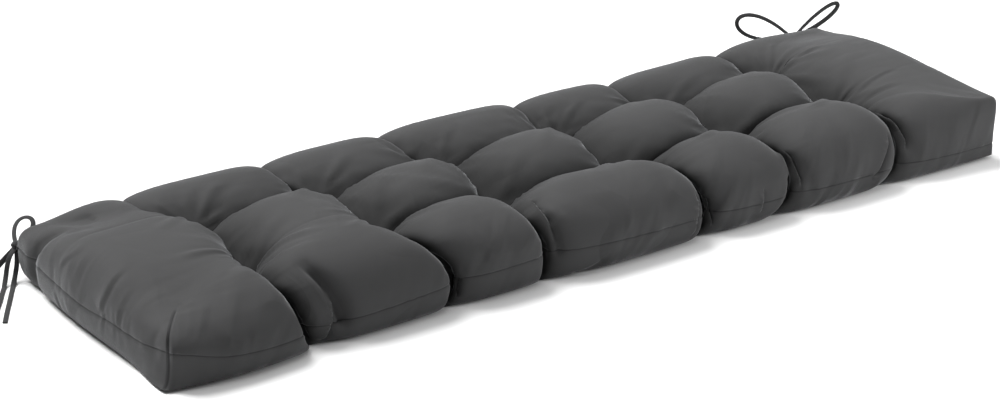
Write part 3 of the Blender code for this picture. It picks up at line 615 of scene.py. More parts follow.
def vertex_normals(points, faces):
    """Outward unit normals, weighted by face area."""
    a, b, c, d = (points[faces[:, n]] for n in range(4))
    face_normals = np.cross(c - a, d - b)
    normals = np.zeros_like(points)
    for n in range(4):
        np.add.at(normals, faces[:, n], face_normals)
    return normals / np.linalg.norm(normals, axis=1, keepdims=True)


def line_distance(points, line):
    """Distance from each point to a broken line, and how far along it the nearest place is, from 0 to 1."""
    line = np.asarray(line, float)
    best = np.full(len(points), np.inf)
    where = np.zeros(len(points))
    for n in range(len(line) - 1):
        start, run = line[n], line[n + 1] - line[n]
        part = np.clip((points - start) @ run / (run @ run), 0, 1)
        away = np.linalg.norm(points - start - part[:, None] * run, axis=1)
        nearer = away < best
        best = np.where(nearer, away, best)
        where = np.where(nearer, (n + part) / (len(line) - 1), where)
    return best, where


def held(values, coordinate):
    """One value for each cell of the lattice, held through the cell and eased into the next."""
    cell = np.clip(np.floor(coordinate - 0.5).astype(int), 0, len(values) - 2)
    part = np.clip((coordinate - 0.5 - cell - 0.5) / HOLD_EASE + 0.5, 0, 1)
    values = np.asarray(values, float)
    return values[cell] + (values[cell + 1] - values[cell]) * part ** 2 * (3 - 2 * part)


def pressed_depth(points, places, column, along, drop):
    """How deep the valleys press each point in, how full it still is, and how strong each valley is there."""
    x, y, _ = points.T
    wall = drop * (places[:, 2] > 0)
    fullness = np.ones(len(points))
    folds = fold_place(along)
    reach = COLUMN_REACH + (WALL_REACH - COLUMN_REACH) * np.clip(wall * WALL_EASE, 0, 1)
    column_strength = [smooth_lookup(STRETCH_ENDS, strengths, along) for strengths in COLUMN_STRENGTH]
    grown = np.clip((along - SHOULDER_START) / SHOULDER_LENGTH, 0, 1)
    square = FRONT_SHOULDER + (MIDDLE_SHOULDER - FRONT_SHOULDER) * grown
    for fold, strength in zip(folds, column_strength):
        side_reach = reach * np.where(x < fold, square, LEFT_FLANK)
        fullness *= 1 - strength * (1 - flank(np.abs(x - fold), side_reach))
    rows = row_place(x)
    end_fade = 1 - np.clip(wall * ROW_EASE, 0, 1)
    row_strength = []
    for n, strengths in enumerate(ROW_STRENGTH):
        inner = np.clip(column, 1 + END_TACK_HOLD, COLUMNS - 1 - END_TACK_HOLD)
        past_right = np.where(column > COLUMNS - 1, strengths[-1], held(strengths, inner))
        strength = np.where(column < 1, strengths[0], past_right)
        from_end_tacks = np.minimum(np.abs(column - 1), np.abs(column - (COLUMNS - 1))) * LENGTH / COLUMNS
        strength = strength + (END_TACK_STRENGTH - strength) * bell(from_end_tacks, END_TACK_REACH)
        row_strength.append(strength * end_fade)
        side_reach = ROW_REACH * np.where(y < rows[n], BACK_FLANK, FRONT_FLANK)
        fullness *= 1 - row_strength[-1] * (1 - flank(np.abs(y - rows[n]), side_reach))

    pull = np.zeros(len(points))
    for tack_x, tack_y in TACKS:
        away = np.hypot(x - tack_x, y - tack_y)
        pull = np.maximum(pull, np.exp(-(away / TACK_REACH) ** TACK_SHARPNESS))
    top_depth = VALLEY_DEPTH + TACK_DEPTH * pull
    wall_depths = (VALLEY_DEPTH, RIM_DEPTH, SEAM_DEPTH, FOOT_DEPTH)
    wall_depth = smooth_lookup((0, RIM_DROP, SEAM_DROP, 1), wall_depths, wall)
    depth = np.where(wall > 0, wall_depth, top_depth) * (1 - fullness)

    for _, fold_depth, half_width, line in SINGLE_FOLDS:
        away, part = line_distance(points, line)
        taper = np.sin(pi * np.clip(part, FOLD_ENDS, 1 - FOLD_ENDS)) ** 0.5
        depth = depth + fold_depth * taper * (1 - flank(away, half_width))
    return depth, fullness, (column_strength, row_strength)


def gathered(points, form, along, depth, fullness, strengths):
    """Closes the lobes' flanks in on the valleys, so that they press on each other, and leans them over."""
    x, y, _ = form.T
    column_strength, row_strength = strengths
    moved = points.copy()
    gather = TOP_GATHER + (FRONT_GATHER - TOP_GATHER) * np.clip(-along - GATHER_START, 0, 1)
    leaning_part = np.clip(-along - OVERHANG_START, 0, 1)
    for fold, strength, crevice_slant in zip(fold_place(along), column_strength, CREVICE_SLANTS):
        away = x - fold
        near = gather * strength * bell(away, GATHER_REACH)
        lean = strength * fullness * bell(away, OVERHANG_REACH) * leaning_part
        slant = strength * bell(away, CREVICE_REACH) * np.clip(2 * (-along - GATHER_START), 0, 1)
        under = strength * bell(away, TOP_SLANT_REACH) * np.clip(2 * along + 2, 0, 1)
        slanted = crevice_slant * depth * slant - TOP_SLANT * depth * under
        moved[:, 0] += OVERHANG * lean - near * away + slanted
    for line, strength in zip(row_place(x), row_strength):
        away = y - line
        moved[:, 1] -= TOP_GATHER * strength * bell(away, GATHER_REACH) * away
        moved[:, 1] -= TOP_SLANT * depth * strength * bell(away, TOP_SLANT_REACH)
    return moved


def ramp(values, start, end):
    """0 before the start, 1 after the end, and a smooth step between them."""
    part = np.clip((values - start) / (end - start), 0, 1)
    return part ** 2 * (3 - 2 * part)


def evened_corner(points, faces, column):
    """The points once the top of the left front corner is evened out."""
    share = SOFT_SHARE * ramp(-column, -SOFT_COLUMNS[0], -SOFT_COLUMNS[1])
    share = share * ramp(-points[:, 1], *SOFT_FRONT) * ramp(points[:, 2], *SOFT_HEIGHT)
    edges = np.concatenate([faces[:, [n, (n + 1) % 4]] for n in range(4)])
    neighbours = np.bincount(edges[:, 0], minlength=len(points))[:, None]
    for _ in range(SOFT_ROUNDS):
        total = np.zeros_like(points)
        np.add.at(total, edges[:, 0], points[edges[:, 1]])
        points = points + share[:, None] * (total / neighbours - points)
    return points


def under_depth(points, along):
    """How deep the underside is drawn in: shallow valleys through the tacks, flat between them."""
    x, y, _ = points.T
    between_rows = flank(np.clip(np.abs(y) - TACK_ROWS[1][0], 0, None), UNDER_TACK_REACH)
    between_columns = flank(np.clip(np.abs(x) - TACK_X[-1], 0, None), UNDER_TACK_REACH)
    depth = np.zeros(len(points))
    for fold in fold_place(along):
        valley = (1 - flank(np.abs(x - fold), UNDER_VALLEY_REACH)) * (1 - between_rows)
        depth = np.maximum(depth, UNDER_VALLEY_DEPTH * valley)
    for row in row_place(x):
        valley = (1 - flank(np.abs(y - row), UNDER_VALLEY_REACH)) * (1 - between_columns)
        depth = np.maximum(depth, UNDER_VALLEY_DEPTH * valley)
    for tack_x, tack_y in TACKS:
        away = np.hypot(x - tack_x, y - tack_y)
        depth = np.maximum(depth, UNDER_TACK_DEPTH * (1 - flank(away, UNDER_TACK_REACH)))
    return depth


def ridge_shares(form, places, column, along, drop):
    """How strongly fine wrinkles run along the cloth's u and along its v at each point.

    They run up the walls, most of all at the seam, and square to the valleys on the top.
    """
    x, y, _ = form.T
    i, j, k = places.T
    from_fold = np.abs(x - fold_place(along)).min(axis=0)
    from_row = np.abs(y - row_place(x)).min(axis=0)
    at_fold = bell(from_fold, RIDGE_REACH)
    from_ends = np.minimum(column - RIDGE_END_LOBES, COLUMNS - RIDGE_END_LOBES - column)
    inside_ends = np.clip(from_ends * 2, 0, 1)
    at_row = bell(from_row, RIDGE_REACH) * inside_ends
    top = (k == k.max()) | (k == 0)
    near_seam = bell(drop - SEAM_DROP, RIDGE_SEAM_REACH)
    at_seam = RIDGE_WALL_FLOOR + (1 - RIDGE_WALL_FLOOR) * near_seam
    side_wall = ((j == 0) | (j == j.max())) & ~top
    end_wall = ((i == 0) | (i == i.max())) & ~top
    top_u = RIDGE_FLOOR + RIDGE_VALLEY * at_fold
    top_v = RIDGE_FLOOR + RIDGE_VALLEY * at_row
    wall_u = np.where(side_wall, RIDGE_ALONG_SIDE, RIDGE_UP_END * at_seam)
    wall_v = np.where(end_wall, RIDGE_ALONG_END, at_seam)
    on_wall = np.where(top, 0, ramp(drop, 0, RIDGE_EASE))
    return top_u + (wall_u - top_u) * on_wall, top_v + (wall_v - top_v) * on_wall


def cloth_coordinates(points, faces, places):
    """Flat (u, v) places on the cut cloth, one for each corner of each face, in metres."""
    i, j, k = places.T
    last_i, last_j, last_k = i.max(), j.max(), k.max()
    lookup = {tuple(place): n for n, place in enumerate(places)}
    # How far down the wall each point lies from the rim above it, along the cloth.
    down = np.zeros(len(points))
    for level in range(last_k - 1, -1, -1):
        for n in np.flatnonzero(k == level):
            above = lookup.get((i[n], j[n], level + 1))
            if above is not None:
                down[n] = down[above] + np.linalg.norm(points[n] - points[above])
    rim = points[[lookup.get((i[n], j[n], last_k), n) for n in range(len(points))]]
    flat = points[faces][:, :, :2]
    level_face = (k[faces] == last_k).all(axis=1) | (k[faces] == 0).all(axis=1)
    walls = ((j, 0, -1, 1), (j, last_j, 1, 1), (i, 0, -1, 0), (i, last_i, 1, 0))
    for place, limit, sign, axis in walls:
        chosen = (place[faces] == limit).all(axis=1) & ~level_face
        flat[chosen, :, axis] = rim[faces[chosen], axis] + sign * down[faces[chosen]]
    return flat


# ---- Objects ----
def mesh_object(name, points, faces, material):
    mesh = bpy.data.meshes.new(name)
    mesh.from_pydata([tuple(point) for point in points], [], [tuple(face) for face in faces])
    if material is not None:
        mesh.materials.append(material)
    mesh.shade_smooth()
    thing = bpy.data.objects.new(name, mesh)
    bpy.context.scene.collection.objects.link(thing)
    return thing


def vectors_of(items, name):
    """One vector of each item of a mesh, as rows."""
    flat = np.empty(len(items) * 3, np.float32)
    items.foreach_get(name, flat)
    return flat.reshape(-1, 3).astype(float)


def mesh_points(mesh):
    return vectors_of(mesh.vertices, "co")


def move_points(mesh, points):
    """Puts the mesh's points in new places, none of them under the surface that the cushion lies on."""
    points[:, 2] = np.maximum(points[:, 2], 0)
    mesh.vertices.foreach_set("co", points.astype(np.float32).ravel())
    mesh.update()


def evaluated_mesh(thing):
    """The object's mesh with its modifiers applied, as a new mesh."""
    graph = bpy.context.evaluated_depsgraph_get()
    return bpy.data.meshes.new_from_object(thing.evaluated_get(graph), depsgraph=graph)


def nearest_share(targets, sources, values, count):
    """The values of the nearest source points, mixed by nearness, at each target point."""
    tree = KDTree(len(sources))
    for n, point in enumerate(sources):
        tree.insert(point, n)
    tree.balance()
    mixed = np.zeros((len(targets), values.shape[1]))
    for n, target in enumerate(targets):
        found = tree.find_n(target, count)
        weights = np.array([bell(away, SHARE_REACH) + 1e-9 for _, _, away in found])
        nearest = [index for _, index, _ in found]
        mixed[n] = weights @ values[nearest] / weights.sum()
    return mixed


def even_cloth(points, faces):
    """The same surface as a new object, in even faces, so that the cloth is equally stiff everywhere."""
    thing = mesh_object("settling_cloth", points, faces, None)
    modifier = thing.modifiers.new("Even", "REMESH")
    modifier.mode = "VOXEL"
    modifier.voxel_size = SETTLE_VOXEL
    mesh = evaluated_mesh(thing)
    thing.modifiers.remove(modifier)
    thing.data = mesh
    return thing


def weigh(thing, name, weights):
    group = thing.vertex_groups.new(name=name)
    for n, weight in enumerate(weights):
        group.add([n], float(weight), "REPLACE")
    return group.name


def settled_move(targets, points, faces, hold, spare):
    """How far each target moves when the cloth of the form settles under the filling's pressure."""
    thing = even_cloth(points, faces)
    before = mesh_points(thing.data)
    weights = nearest_share(before, points, np.column_stack([hold, spare]), 1)
    modifier = thing.modifiers.new("Settling", "CLOTH")
    settings = modifier.settings
    for name, value in CLOTH_SETTINGS.items():
        setattr(settings, name, value)
    settings.vertex_group_shrink = weigh(thing, "spare", weights[:, 1])
    settings.vertex_group_mass = weigh(thing, "hold", weights[:, 0])
    settings.effector_weights.gravity = 0
    modifier.collision_settings.use_collision = False
    modifier.point_cache.frame_start = 1
    modifier.point_cache.frame_end = SETTLE_FRAMES
    scene = bpy.context.scene
    for frame in range(1, SETTLE_FRAMES + 1):
        scene.frame_set(frame)
    move = mesh_points(evaluated_mesh(thing)) - before
    scene.frame_set(1)
    bpy.data.objects.remove(thing, do_unlink=True)
    # A soft cap: small moves stay as they are and large ones level off.
    size = np.linalg.norm(move, axis=1, keepdims=True)
    move *= LARGEST_MOVE * np.tanh(size / LARGEST_MOVE) / np.maximum(size, 1e-9)
    return nearest_share(targets, before, move, 5)


def subdivide(thing):
    modifier = thing.modifiers.new("Smooth", "SUBSURF")
    modifier.levels = 1
    modifier.render_levels = 1
    mesh = evaluated_mesh(thing)
    thing.modifiers.remove(modifier)
    old = thing.data
    thing.data = mesh
    bpy.data.meshes.remove(old)
    mesh.name = thing.name


def point_values(mesh, name):
    values = np.empty(len(mesh.vertices), np.float32)
    mesh.attributes[name].data.foreach_get("value", values)
    return values.astype(float)


def store(mesh, name, values):
    attribute = mesh.attributes.new(name, "FLOAT", "POINT")
    attribute.data.foreach_set("value", np.asarray(values, np.float32))


def mesh_normals(mesh):
    return vectors_of(mesh.vertex_normals, "vector")


def pleat_line(start, end, bow):
    """The bowed line of a pleat, on its face."""
    start, end = np.array(start), np.array(end)
    run = end - start
    left = np.array([-run[1], run[0]]) / np.linalg.norm(run)
    part = np.linspace(0, 1, PLEAT_STEPS + 1)[:, None]
    return start + part * run + 4 * part * (1 - part) * bow * left


def beside_pleat(points, normals, pleat, reach):
    """The points within reach of a pleat, and for each how far across and along it lies, which way its lip
    is, and how squarely it faces the way that the pleat's face does.
    """
    face, start, end, bow, side = pleat[:5]
    axes, outward, first = FACES[face]
    outward = np.array(outward, float)
    line = pleat_line(start, end, bow)
    flat = points[:, axes]
    low, high = line.min(axis=0) - reach, line.max(axis=0) + reach
    facing = normals @ outward
    on_face = (points @ outward > first) & (facing > 0)
    near = np.flatnonzero(((flat > low) & (flat < high)).all(axis=1) & on_face)
    away, part = line_distance(flat[near], line)
    inside = away < reach
    near, away, part = near[inside], away[inside], part[inside]
    place = np.clip(part * PLEAT_STEPS, 0, PLEAT_STEPS - 1e-6)
    step = place.astype(int)
    run = line[step + 1] - line[step]
    foot = line[step] + run * (place - step)[:, None]
    to_left = np.column_stack([-run[:, 1], run[:, 0]]) / np.linalg.norm(run, axis=1, keepdims=True)
    handed = -1 if face == "left" else 1
    to_lip = side * handed * to_left
    across = np.sign(((flat[near] - foot) * to_lip).sum(axis=1)) * away
    solid_way = np.zeros((len(near), 3))
    solid_way[:, axes] = to_lip
    return near, across, part, solid_way, np.clip(facing[near] / SQUARE_ON, 0, 1)


def refine(thing, pleats, reach):
    """Halves the faces that lie near any of the pleats."""
    points, normals = mesh_points(thing.data), mesh_normals(thing.data)
    close = np.zeros(len(points), bool)
    for pleat in pleats:
        close[beside_pleat(points, normals, pleat, reach)[0]] = True
    work = bmesh.new()
    work.from_mesh(thing.data)
    work.verts.ensure_lookup_table()
    edges = [edge for edge in work.edges if close[edge.verts[0].index] and close[edge.verts[1].index]]
    bmesh.ops.subdivide_edges(work, edges=edges, cuts=1, use_grid_fill=True)
    work.to_mesh(thing.data)
    work.free()


def pleat_moves(points, normals):
    """How the pleats move each point: the lip rises and leans over the groove beside it."""
    moves = np.zeros_like(points)
    for pleat in PLEATS:
        lip, groove, half_width, step_width = pleat[5:]
        near, across, part, to_lip, facing = beside_pleat(points, normals, pleat, PLEAT_REACH * half_width)
        step = 0.5 + 0.5 * np.tanh(across / step_width)
        fade = np.clip(part / PLEAT_FADE, 0, 1) * np.clip((1 - part) / PLEAT_FADE, 0, 1)
        shape = facing * fade * (3 - 2 * fade) * fade * np.exp(-(np.abs(across) / half_width) ** 1.5)
        rise = shape * (lip * step - groove * (1 - step))
        moves[near] += rise[:, None] * normals[near]
        if step_width < CRISP:
            moves[near] -= (shape * step * PLEAT_LEAN * (lip + groove))[:, None] * to_lip
    return moves


def tack_pucker_heights(points, drop, middle, draw):
    """Rays of gathered cloth that spread from each tack over the lobes round it."""
    height = np.zeros(len(points))
    for tack_x, tack_y in TACKS:
        away_x = points[:, 0] + middle[0] - tack_x
        away_y = points[:, 1] + middle[1] - tack_y
        away = np.hypot(away_x, away_y)
        angle = np.arctan2(away_y, away_x)
        first = draw.uniform(0, 2 * pi)
        for ray in range(TACK_PUCKERS):
            direction = first + 2 * pi * (ray + draw.uniform(-0.3, 0.3)) / TACK_PUCKERS
            length = draw.uniform(*TACK_PUCKER_LENGTHS)
            width = draw.uniform(*TACK_PUCKER_WIDTHS)
            tall = draw.uniform(0.4, 1.0) * TACK_PUCKER_HEIGHT
            turn = (angle - direction + pi) % (2 * pi) - pi
            side = turn * away / (width * (0.6 + away / TACK_PUCKER_SPREAD))
            reach = (away / TACK_PUCKER_START) ** 2 * np.exp(-(away / length) ** 1.6)
            height += tall * np.minimum(reach, 1.2) * crease(side) * (np.abs(turn) < TACK_PUCKER_TURN)
    return np.where(drop < 0.02, height, 0)


def seam_pucker_heights(points, row, column, drop, draw):
    """Short wrinkles that run up and down from the seam where two layers were sewn unevenly."""
    height = np.zeros(len(points))
    walls = ((row < EDGE, 0, HALF_LENGTH), (row > ROWS - EDGE, 0, HALF_LENGTH),
             (column < EDGE, 1, HALF_WIDTH), (column > COLUMNS - EDGE, 1, HALF_WIDTH))
    for on_wall, axis, half in walls:
        chosen = np.flatnonzero(on_wall & (drop > 0.02) & (drop < 0.98))
        run = points[chosen, axis]
        rise = (SEAM_DROP - drop[chosen]) * WALL_LENGTH
        corner = np.clip((half - np.abs(run)) / SEAM_PUCKER_CORNER, 0, 1)
        place = -half
        while place < half:
            place += SEAM_PUCKER_SPACING * draw.uniform(0.5, 1.6)
            for direction, longest in SEAM_PUCKER_LONGEST:
                length = draw.uniform(0.35, 1.0) * longest
                width = draw.uniform(*SEAM_PUCKER_WIDTHS)
                lean = draw.uniform(*SEAM_PUCKER_LEANS)
                tall = draw.uniform(-0.7, 1.0) * SEAM_PUCKER_HEIGHT
                up = direction * rise
                side = (run - place - lean * up) / (width * (1 + np.clip(up, 0, 0.1) / SEAM_PUCKER_SPREAD))
                along = np.where(up > 0, bell(up, length), bell(up, SEAM_PUCKER_START))
                height[chosen] += tall * corner * along * crease(side)
    return height


def fold_pucker_heights(points, fullness, draw):
    """Fine ripples across the flanks of the lobes, strongest just beside a valley."""
    waves = np.zeros(len(points))
    for _ in range(FOLD_PUCKER_WAVES):
        direction = draw.normal(size=3)
        pitch = draw.uniform(*FOLD_PUCKER_PITCHES)
        along = points @ (direction / np.linalg.norm(direction))
        waves += np.cos(2 * pi * along / pitch + draw.uniform(0, 2 * pi))
    near = np.clip((fullness - 0.15) / 0.2, 0, 1) * np.clip((0.95 - fullness) / 0.4, 0, 1)
    return FOLD_PUCKER_HEIGHT * near * waves / FOLD_PUCKER_WAVES ** 0.5


def wrinkle(thing, middle):
    """Adds the pleats and the small wrinkles to the settled cloth."""
    for reach in REFINED:
        refine(thing, [pleat for pleat in PLEATS if pleat[-1] < CRISP], reach)
    mesh = thing.data
    points, normals = mesh_points(mesh), mesh_normals(mesh)
    column, row, drop, fullness = (point_values(mesh, name) for name in ("column", "row", "drop", "fullness"))
    draw = np.random.default_rng(SEED)
    moves = pleat_moves(points, normals)
    height = tack_pucker_heights(points, drop, middle, draw)
    height += seam_pucker_heights(points, row, column, drop, draw)
    height += fold_pucker_heights(points, fullness, draw) * (drop < 0.95)
    move_points(mesh, points + moves + normals * height[:, None])


def sew(thing):
    """Presses the seam and the four darts into the finished cloth, and marks them for the material."""
    mesh = thing.data
    column, row, drop = (point_values(mesh, name) for name in ("column", "row", "drop"))
    wall = (drop > EDGE) & (drop < 1 - EDGE)
    on_seam = wall & (np.abs(drop - SEAM_DROP) < SEAM_STEP * 0.1)
    beside_seam = wall & ~on_seam & (np.abs(drop - SEAM_DROP) < SEAM_STEP * 0.7)
    at_end = (column < EDGE) | (column > COLUMNS - EDGE)
    at_side = (row < EDGE) | (row > ROWS - EDGE)
    on_dart = wall & at_end & at_side & (drop > DART_END)
    depth = np.where(on_seam, SEAM_GROOVE, 0) + np.where(beside_seam, SEAM_GROOVE * 0.35, 0)
    depth = np.maximum(depth, np.where(on_dart, DART_GROOVE, 0))
    move_points(mesh, mesh_points(mesh) - mesh_normals(mesh) * depth[:, None])
    store(mesh, "seam", np.where(on_seam | on_dart, 1.0, 0.0))


def make_cushion(material):
    places, faces, column, row = lattice()
    points, along, drop = filled_form(places, column, row)
    flat = cloth_coordinates(points, faces, places)
    normals = vertex_normals(points, faces)
    underside = places[:, 2] == 0
    depth, fullness, strengths = pressed_depth(points, places, column, along, drop)
    depth = np.where(underside, under_depth(points, along), depth)
    form = points
    points = form - normals * depth[:, None]
    leaning = gathered(points, form, along, depth, fullness, strengths)
    points = np.where(underside[:, None], points, leaning)
    points = evened_corner(points, faces, column)
    points[:, 2] = np.maximum(points[:, 2], 0)
    middle = (points.min(axis=0) + points.max(axis=0)) / 2
    points[:, :2] -= middle[:2]

    cushion = mesh_object("cushion_cover", points, faces, material)
    mesh = cushion.data
    uv = mesh.uv_layers.new(name="cloth")
    uv.data.foreach_set("uv", flat.astype(np.float32).ravel())
    ridges_u, ridges_v = ridge_shares(form, places, column, along, drop)
    marks = dict(column=column, row=row, drop=drop, fullness=fullness, ridges_u=ridges_u, ridges_v=ridges_v)
    for name, values in marks.items():
        store(mesh, name, values)
    subdivide(cushion)
    least, most = HELD_FULLNESS
    hold = SHAPE_HOLD + (1 - SHAPE_HOLD) * np.clip((most - fullness) / (most - least), 0, 1)
    hold = np.where(underside | (places[:, 2] == 1), 1.0, hold)
    near_seam = bell(drop - SEAM_DROP, SPARE_SEAM_REACH)
    least, most = SPARE_FULLNESS
    spare = np.clip((most - fullness) / (most - least), 0, 1)
    spare = np.where(drop > 0, np.maximum(spare, SPARE_SEAM * near_seam), spare)
    fine = mesh_points(cushion.data)
    move_points(cushion.data, fine + settled_move(fine, points, faces, hold, spare))
    wrinkle(cushion, middle)
    sew(cushion)
    return cushion


# ---- The ties ----
def unit(vector):
    return np.asarray(vector, float) / np.linalg.norm(vector)


def even_values(line, values, steps):
    """Values given at the points of a line, at even steps along it."""
    lengths = np.concatenate([[0], np.cumsum(np.linalg.norm(np.diff(line, axis=0), axis=1))])
    wanted = np.linspace(0, lengths[-1], steps + 1)
    return np.column_stack([np.interp(wanted, lengths, values[:, axis]) for axis in range(values.shape[1])])


def even_line(line, steps):
    return even_values(line, line, steps)


def line_length(line):
    return float(np.linalg.norm(np.diff(line, axis=0), axis=1).sum())


def through(points, steps):
    """A smooth line through a few points, with even steps between them."""
    points = np.asarray(points, float)
    before = 2 * points[0] - points[1]
    after = 2 * points[-1] - points[-2]
    padded = np.vstack([before, points, after])
    line = []
    spans = len(points) - 1
    for n in np.linspace(0, spans, SPLINE_STEPS * spans + 1):
        span = min(int(n), spans - 1)
        t = n - span
        a, b, c, d = padded[span:span + 4]
        line.append(0.5 * (2 * b + (c - a) * t + (2 * a - 5 * b + 4 * c - d) * t ** 2
                           + (3 * b - a - 3 * c + d) * t ** 3))
    return even_line(np.array(line), steps)


def loop_line(knot, tip, opening, half_width, turned):
    """A teardrop from the knot to its tip and back, and the way the tape's width points along it."""
    reach = np.linalg.norm(tip)
    ahead = unit(tip)
    across = unit(np.asarray(opening) - np.dot(opening, ahead) * ahead)
    turn = np.linspace(0, 2 * pi, FINE_STEPS)
    out = reach * (1 - np.cos(turn)) / 2
    side = LOOP_OPENING * half_width * np.sin(turn) * np.sin(turn / 2)
    line = knot + out[:, None] * ahead + side[:, None] * across
    plane = np.cross(ahead, across)
    run = np.gradient(line, axis=0)
    run /= np.linalg.norm(run, axis=1, keepdims=True)
    share = np.sin(turn / 2)[:, None] ** 0.25 * radians(turned)
    return line, np.cos(share) * plane + np.sin(share) * np.cross(plane, run)


def tail_line(knot, offsets):
    """A tape that falls from the knot and then lies flat on the surface."""
    flat = TAPE_THICKNESS / 2 + FLOOR_GAP
    points = [knot]
    for x, y, z in offsets:
        height = flat if z is None else max(knot[2] + z, flat)
        points.append((knot[0] + x, knot[1] + y, height))
    line = through(points, FINE_STEPS)
    line[:, 2] = np.maximum(line[:, 2], flat)
    return line


def tape_section():
    """The outline of a folded tape across its width and thickness, with round edges."""
    half_width, half_thickness = TAPE_WIDTH / 2, TAPE_THICKNESS / 2
    section = []
    for side, first in ((1, -pi / 2), (-1, pi / 2)):
        for n in range(TAPE_CORNER_STEPS + 1):
            turn = first + pi * n / TAPE_CORNER_STEPS
            section.append((side * (half_width - half_thickness) + half_thickness * cos(turn),
                            half_thickness * sin(turn)))
    return np.array(section)


def frames_along(line, width_directions):
    """The tape's width and thickness directions at each point of its line."""
    ahead = np.gradient(line, axis=0)
    ahead /= np.linalg.norm(ahead, axis=1, keepdims=True)
    across = width_directions - (ahead * width_directions).sum(axis=1)[:, None] * ahead
    across /= np.linalg.norm(across, axis=1, keepdims=True)
    return across, np.cross(ahead, across)


def ring_faces(bands, around):
    """The faces between rings of points that follow each other."""
    faces = []
    for n in range(bands):
        for corner in range(around):
            following = (corner + 1) % around
            faces.append([around * n + corner, around * n + following,
                          around * (n + 1) + following, around * (n + 1) + corner])
    return faces


def tape_mesh(line, width_directions):
    across, up = frames_along(line, width_directions)
    section = tape_section()
    rings = (line[:, None, :] + section[None, :, :1] * across[:, None, :]
             + section[None, :, 1:] * up[:, None, :])
    around = len(section)
    last = around * (len(line) - 1)
    first_end = list(range(around))[::-1]
    last_end = [last + n for n in range(around)]
    return rings.reshape(-1, 3), [first_end, *ring_faces(len(line) - 1, around), last_end]


def smoothed(values, reach):
    """A running mean along a line, with its ends kept."""
    kernel = np.hanning(2 * reach + 3)[1:-1]
    kernel /= kernel.sum()
    padded = np.pad(values, ((reach, reach), (0, 0)), mode="edge")
    return np.column_stack([np.convolve(column, kernel, mode="valid") for column in padded.T])


def tie_line(side, name, knot, corner):
    """One whole tape: from the seam to the knot, round its loop, through the knot again and down its tail."""
    row = KNOTS[side]
    lead = through([corner, corner + row["bend"], knot], FINE_STEPS)
    lead = lead[np.linalg.norm(lead - corner, axis=1) > row["start"]]
    loop, planes = loop_line(knot, *LOOPS[(side, name)])
    tail = tail_line(knot, TAILS[(side, name)])
    level = np.cross([0, 0, 1], tail[-1] - tail[0])
    stretches = [(lead, np.tile((0.0, 0.0, 1.0), (len(lead), 1))), (loop, planes),
                 (tail, np.tile(unit(level), (len(tail), 1)))]
    points, widths = [], []
    for line, width in stretches:
        count = max(int(line_length(line) / TAPE_POINT_SPACING), 3)
        first = 1 if points else 0
        width = even_values(line, width, count)[first:]
        if points and np.dot(width[0], widths[-1][-1]) < 0:
            width = -width
        points.append(even_line(line, count)[first:])
        widths.append(width)
    return np.vstack(points), smoothed(np.vstack(widths), 3)


def knot_mesh(knot, axis, lean):
    """The band of the knot: a tape wound round the crossing of the loops, with a bulge inside it."""
    axis = unit(axis)
    first = unit(np.cross(axis, lean))
    second = np.cross(axis, first)
    points, faces = [], []

    def add(new_points, new_faces):
        start = len(points)
        points.extend(new_points)
        faces.extend([[start + n for n in face] for face in new_faces])

    turn = np.linspace(0, KNOT_WINDING, KNOT_STEPS)
    radius = KNOT_BAND_RADIUS + KNOT_BAND_GROWTH * turn / turn[-1]
    slide = KNOT_SLIDE * (turn / turn[-1] - 0.5)
    band = (knot + (radius * np.cos(turn))[:, None] * first
            + (KNOT_FLATNESS * radius * np.sin(turn))[:, None] * second + slide[:, None] * axis)
    add(*tape_mesh(band, np.tile(axis, (KNOT_STEPS, 1))))
    half_length, core_radius = KNOT_CORE
    core_points = []
    for ring in range(KNOT_CORE_RINGS + 1):
        polar = pi * ring / KNOT_CORE_RINGS
        for corner in range(KNOT_CORE_SIDES):
            angle = 2 * pi * corner / KNOT_CORE_SIDES
            outward = cos(angle) * first + KNOT_FLATNESS * sin(angle) * second
            core_points.append(knot - half_length * cos(polar) * axis + core_radius * sin(polar) * outward)
    add(core_points, ring_faces(KNOT_CORE_RINGS, KNOT_CORE_SIDES))
    return points, faces


def make_ties(material):
    for side, row in KNOTS.items():
        low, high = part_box(f"tie_{side}_knot")
        knot = np.array((low + high) / 2)
        corner = knot - row["offset"]
        axis = np.subtract(LOOPS[(side, "a")][0], LOOPS[(side, "b")][0])
        band = mesh_object(f"knot_{side}", *knot_mesh(knot, axis, (0.0, 0.0, 1.0)), material)
        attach(band, "root")
        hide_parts(f"tie_{side}_knot")
        for name in ("a", "b"):
            line, widths = tie_line(side, name, knot, corner)
            tape = mesh_object(f"tape_{side}_{name}", *tape_mesh(line, widths), material)
            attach(tape, "root")
            replaced = [f"tie_{side}_loop_{name}", f"tie_{side}_tail_{name}"]
            if name == "a":
                replaced.append(f"tie_{side}_lead")
            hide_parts(*replaced)


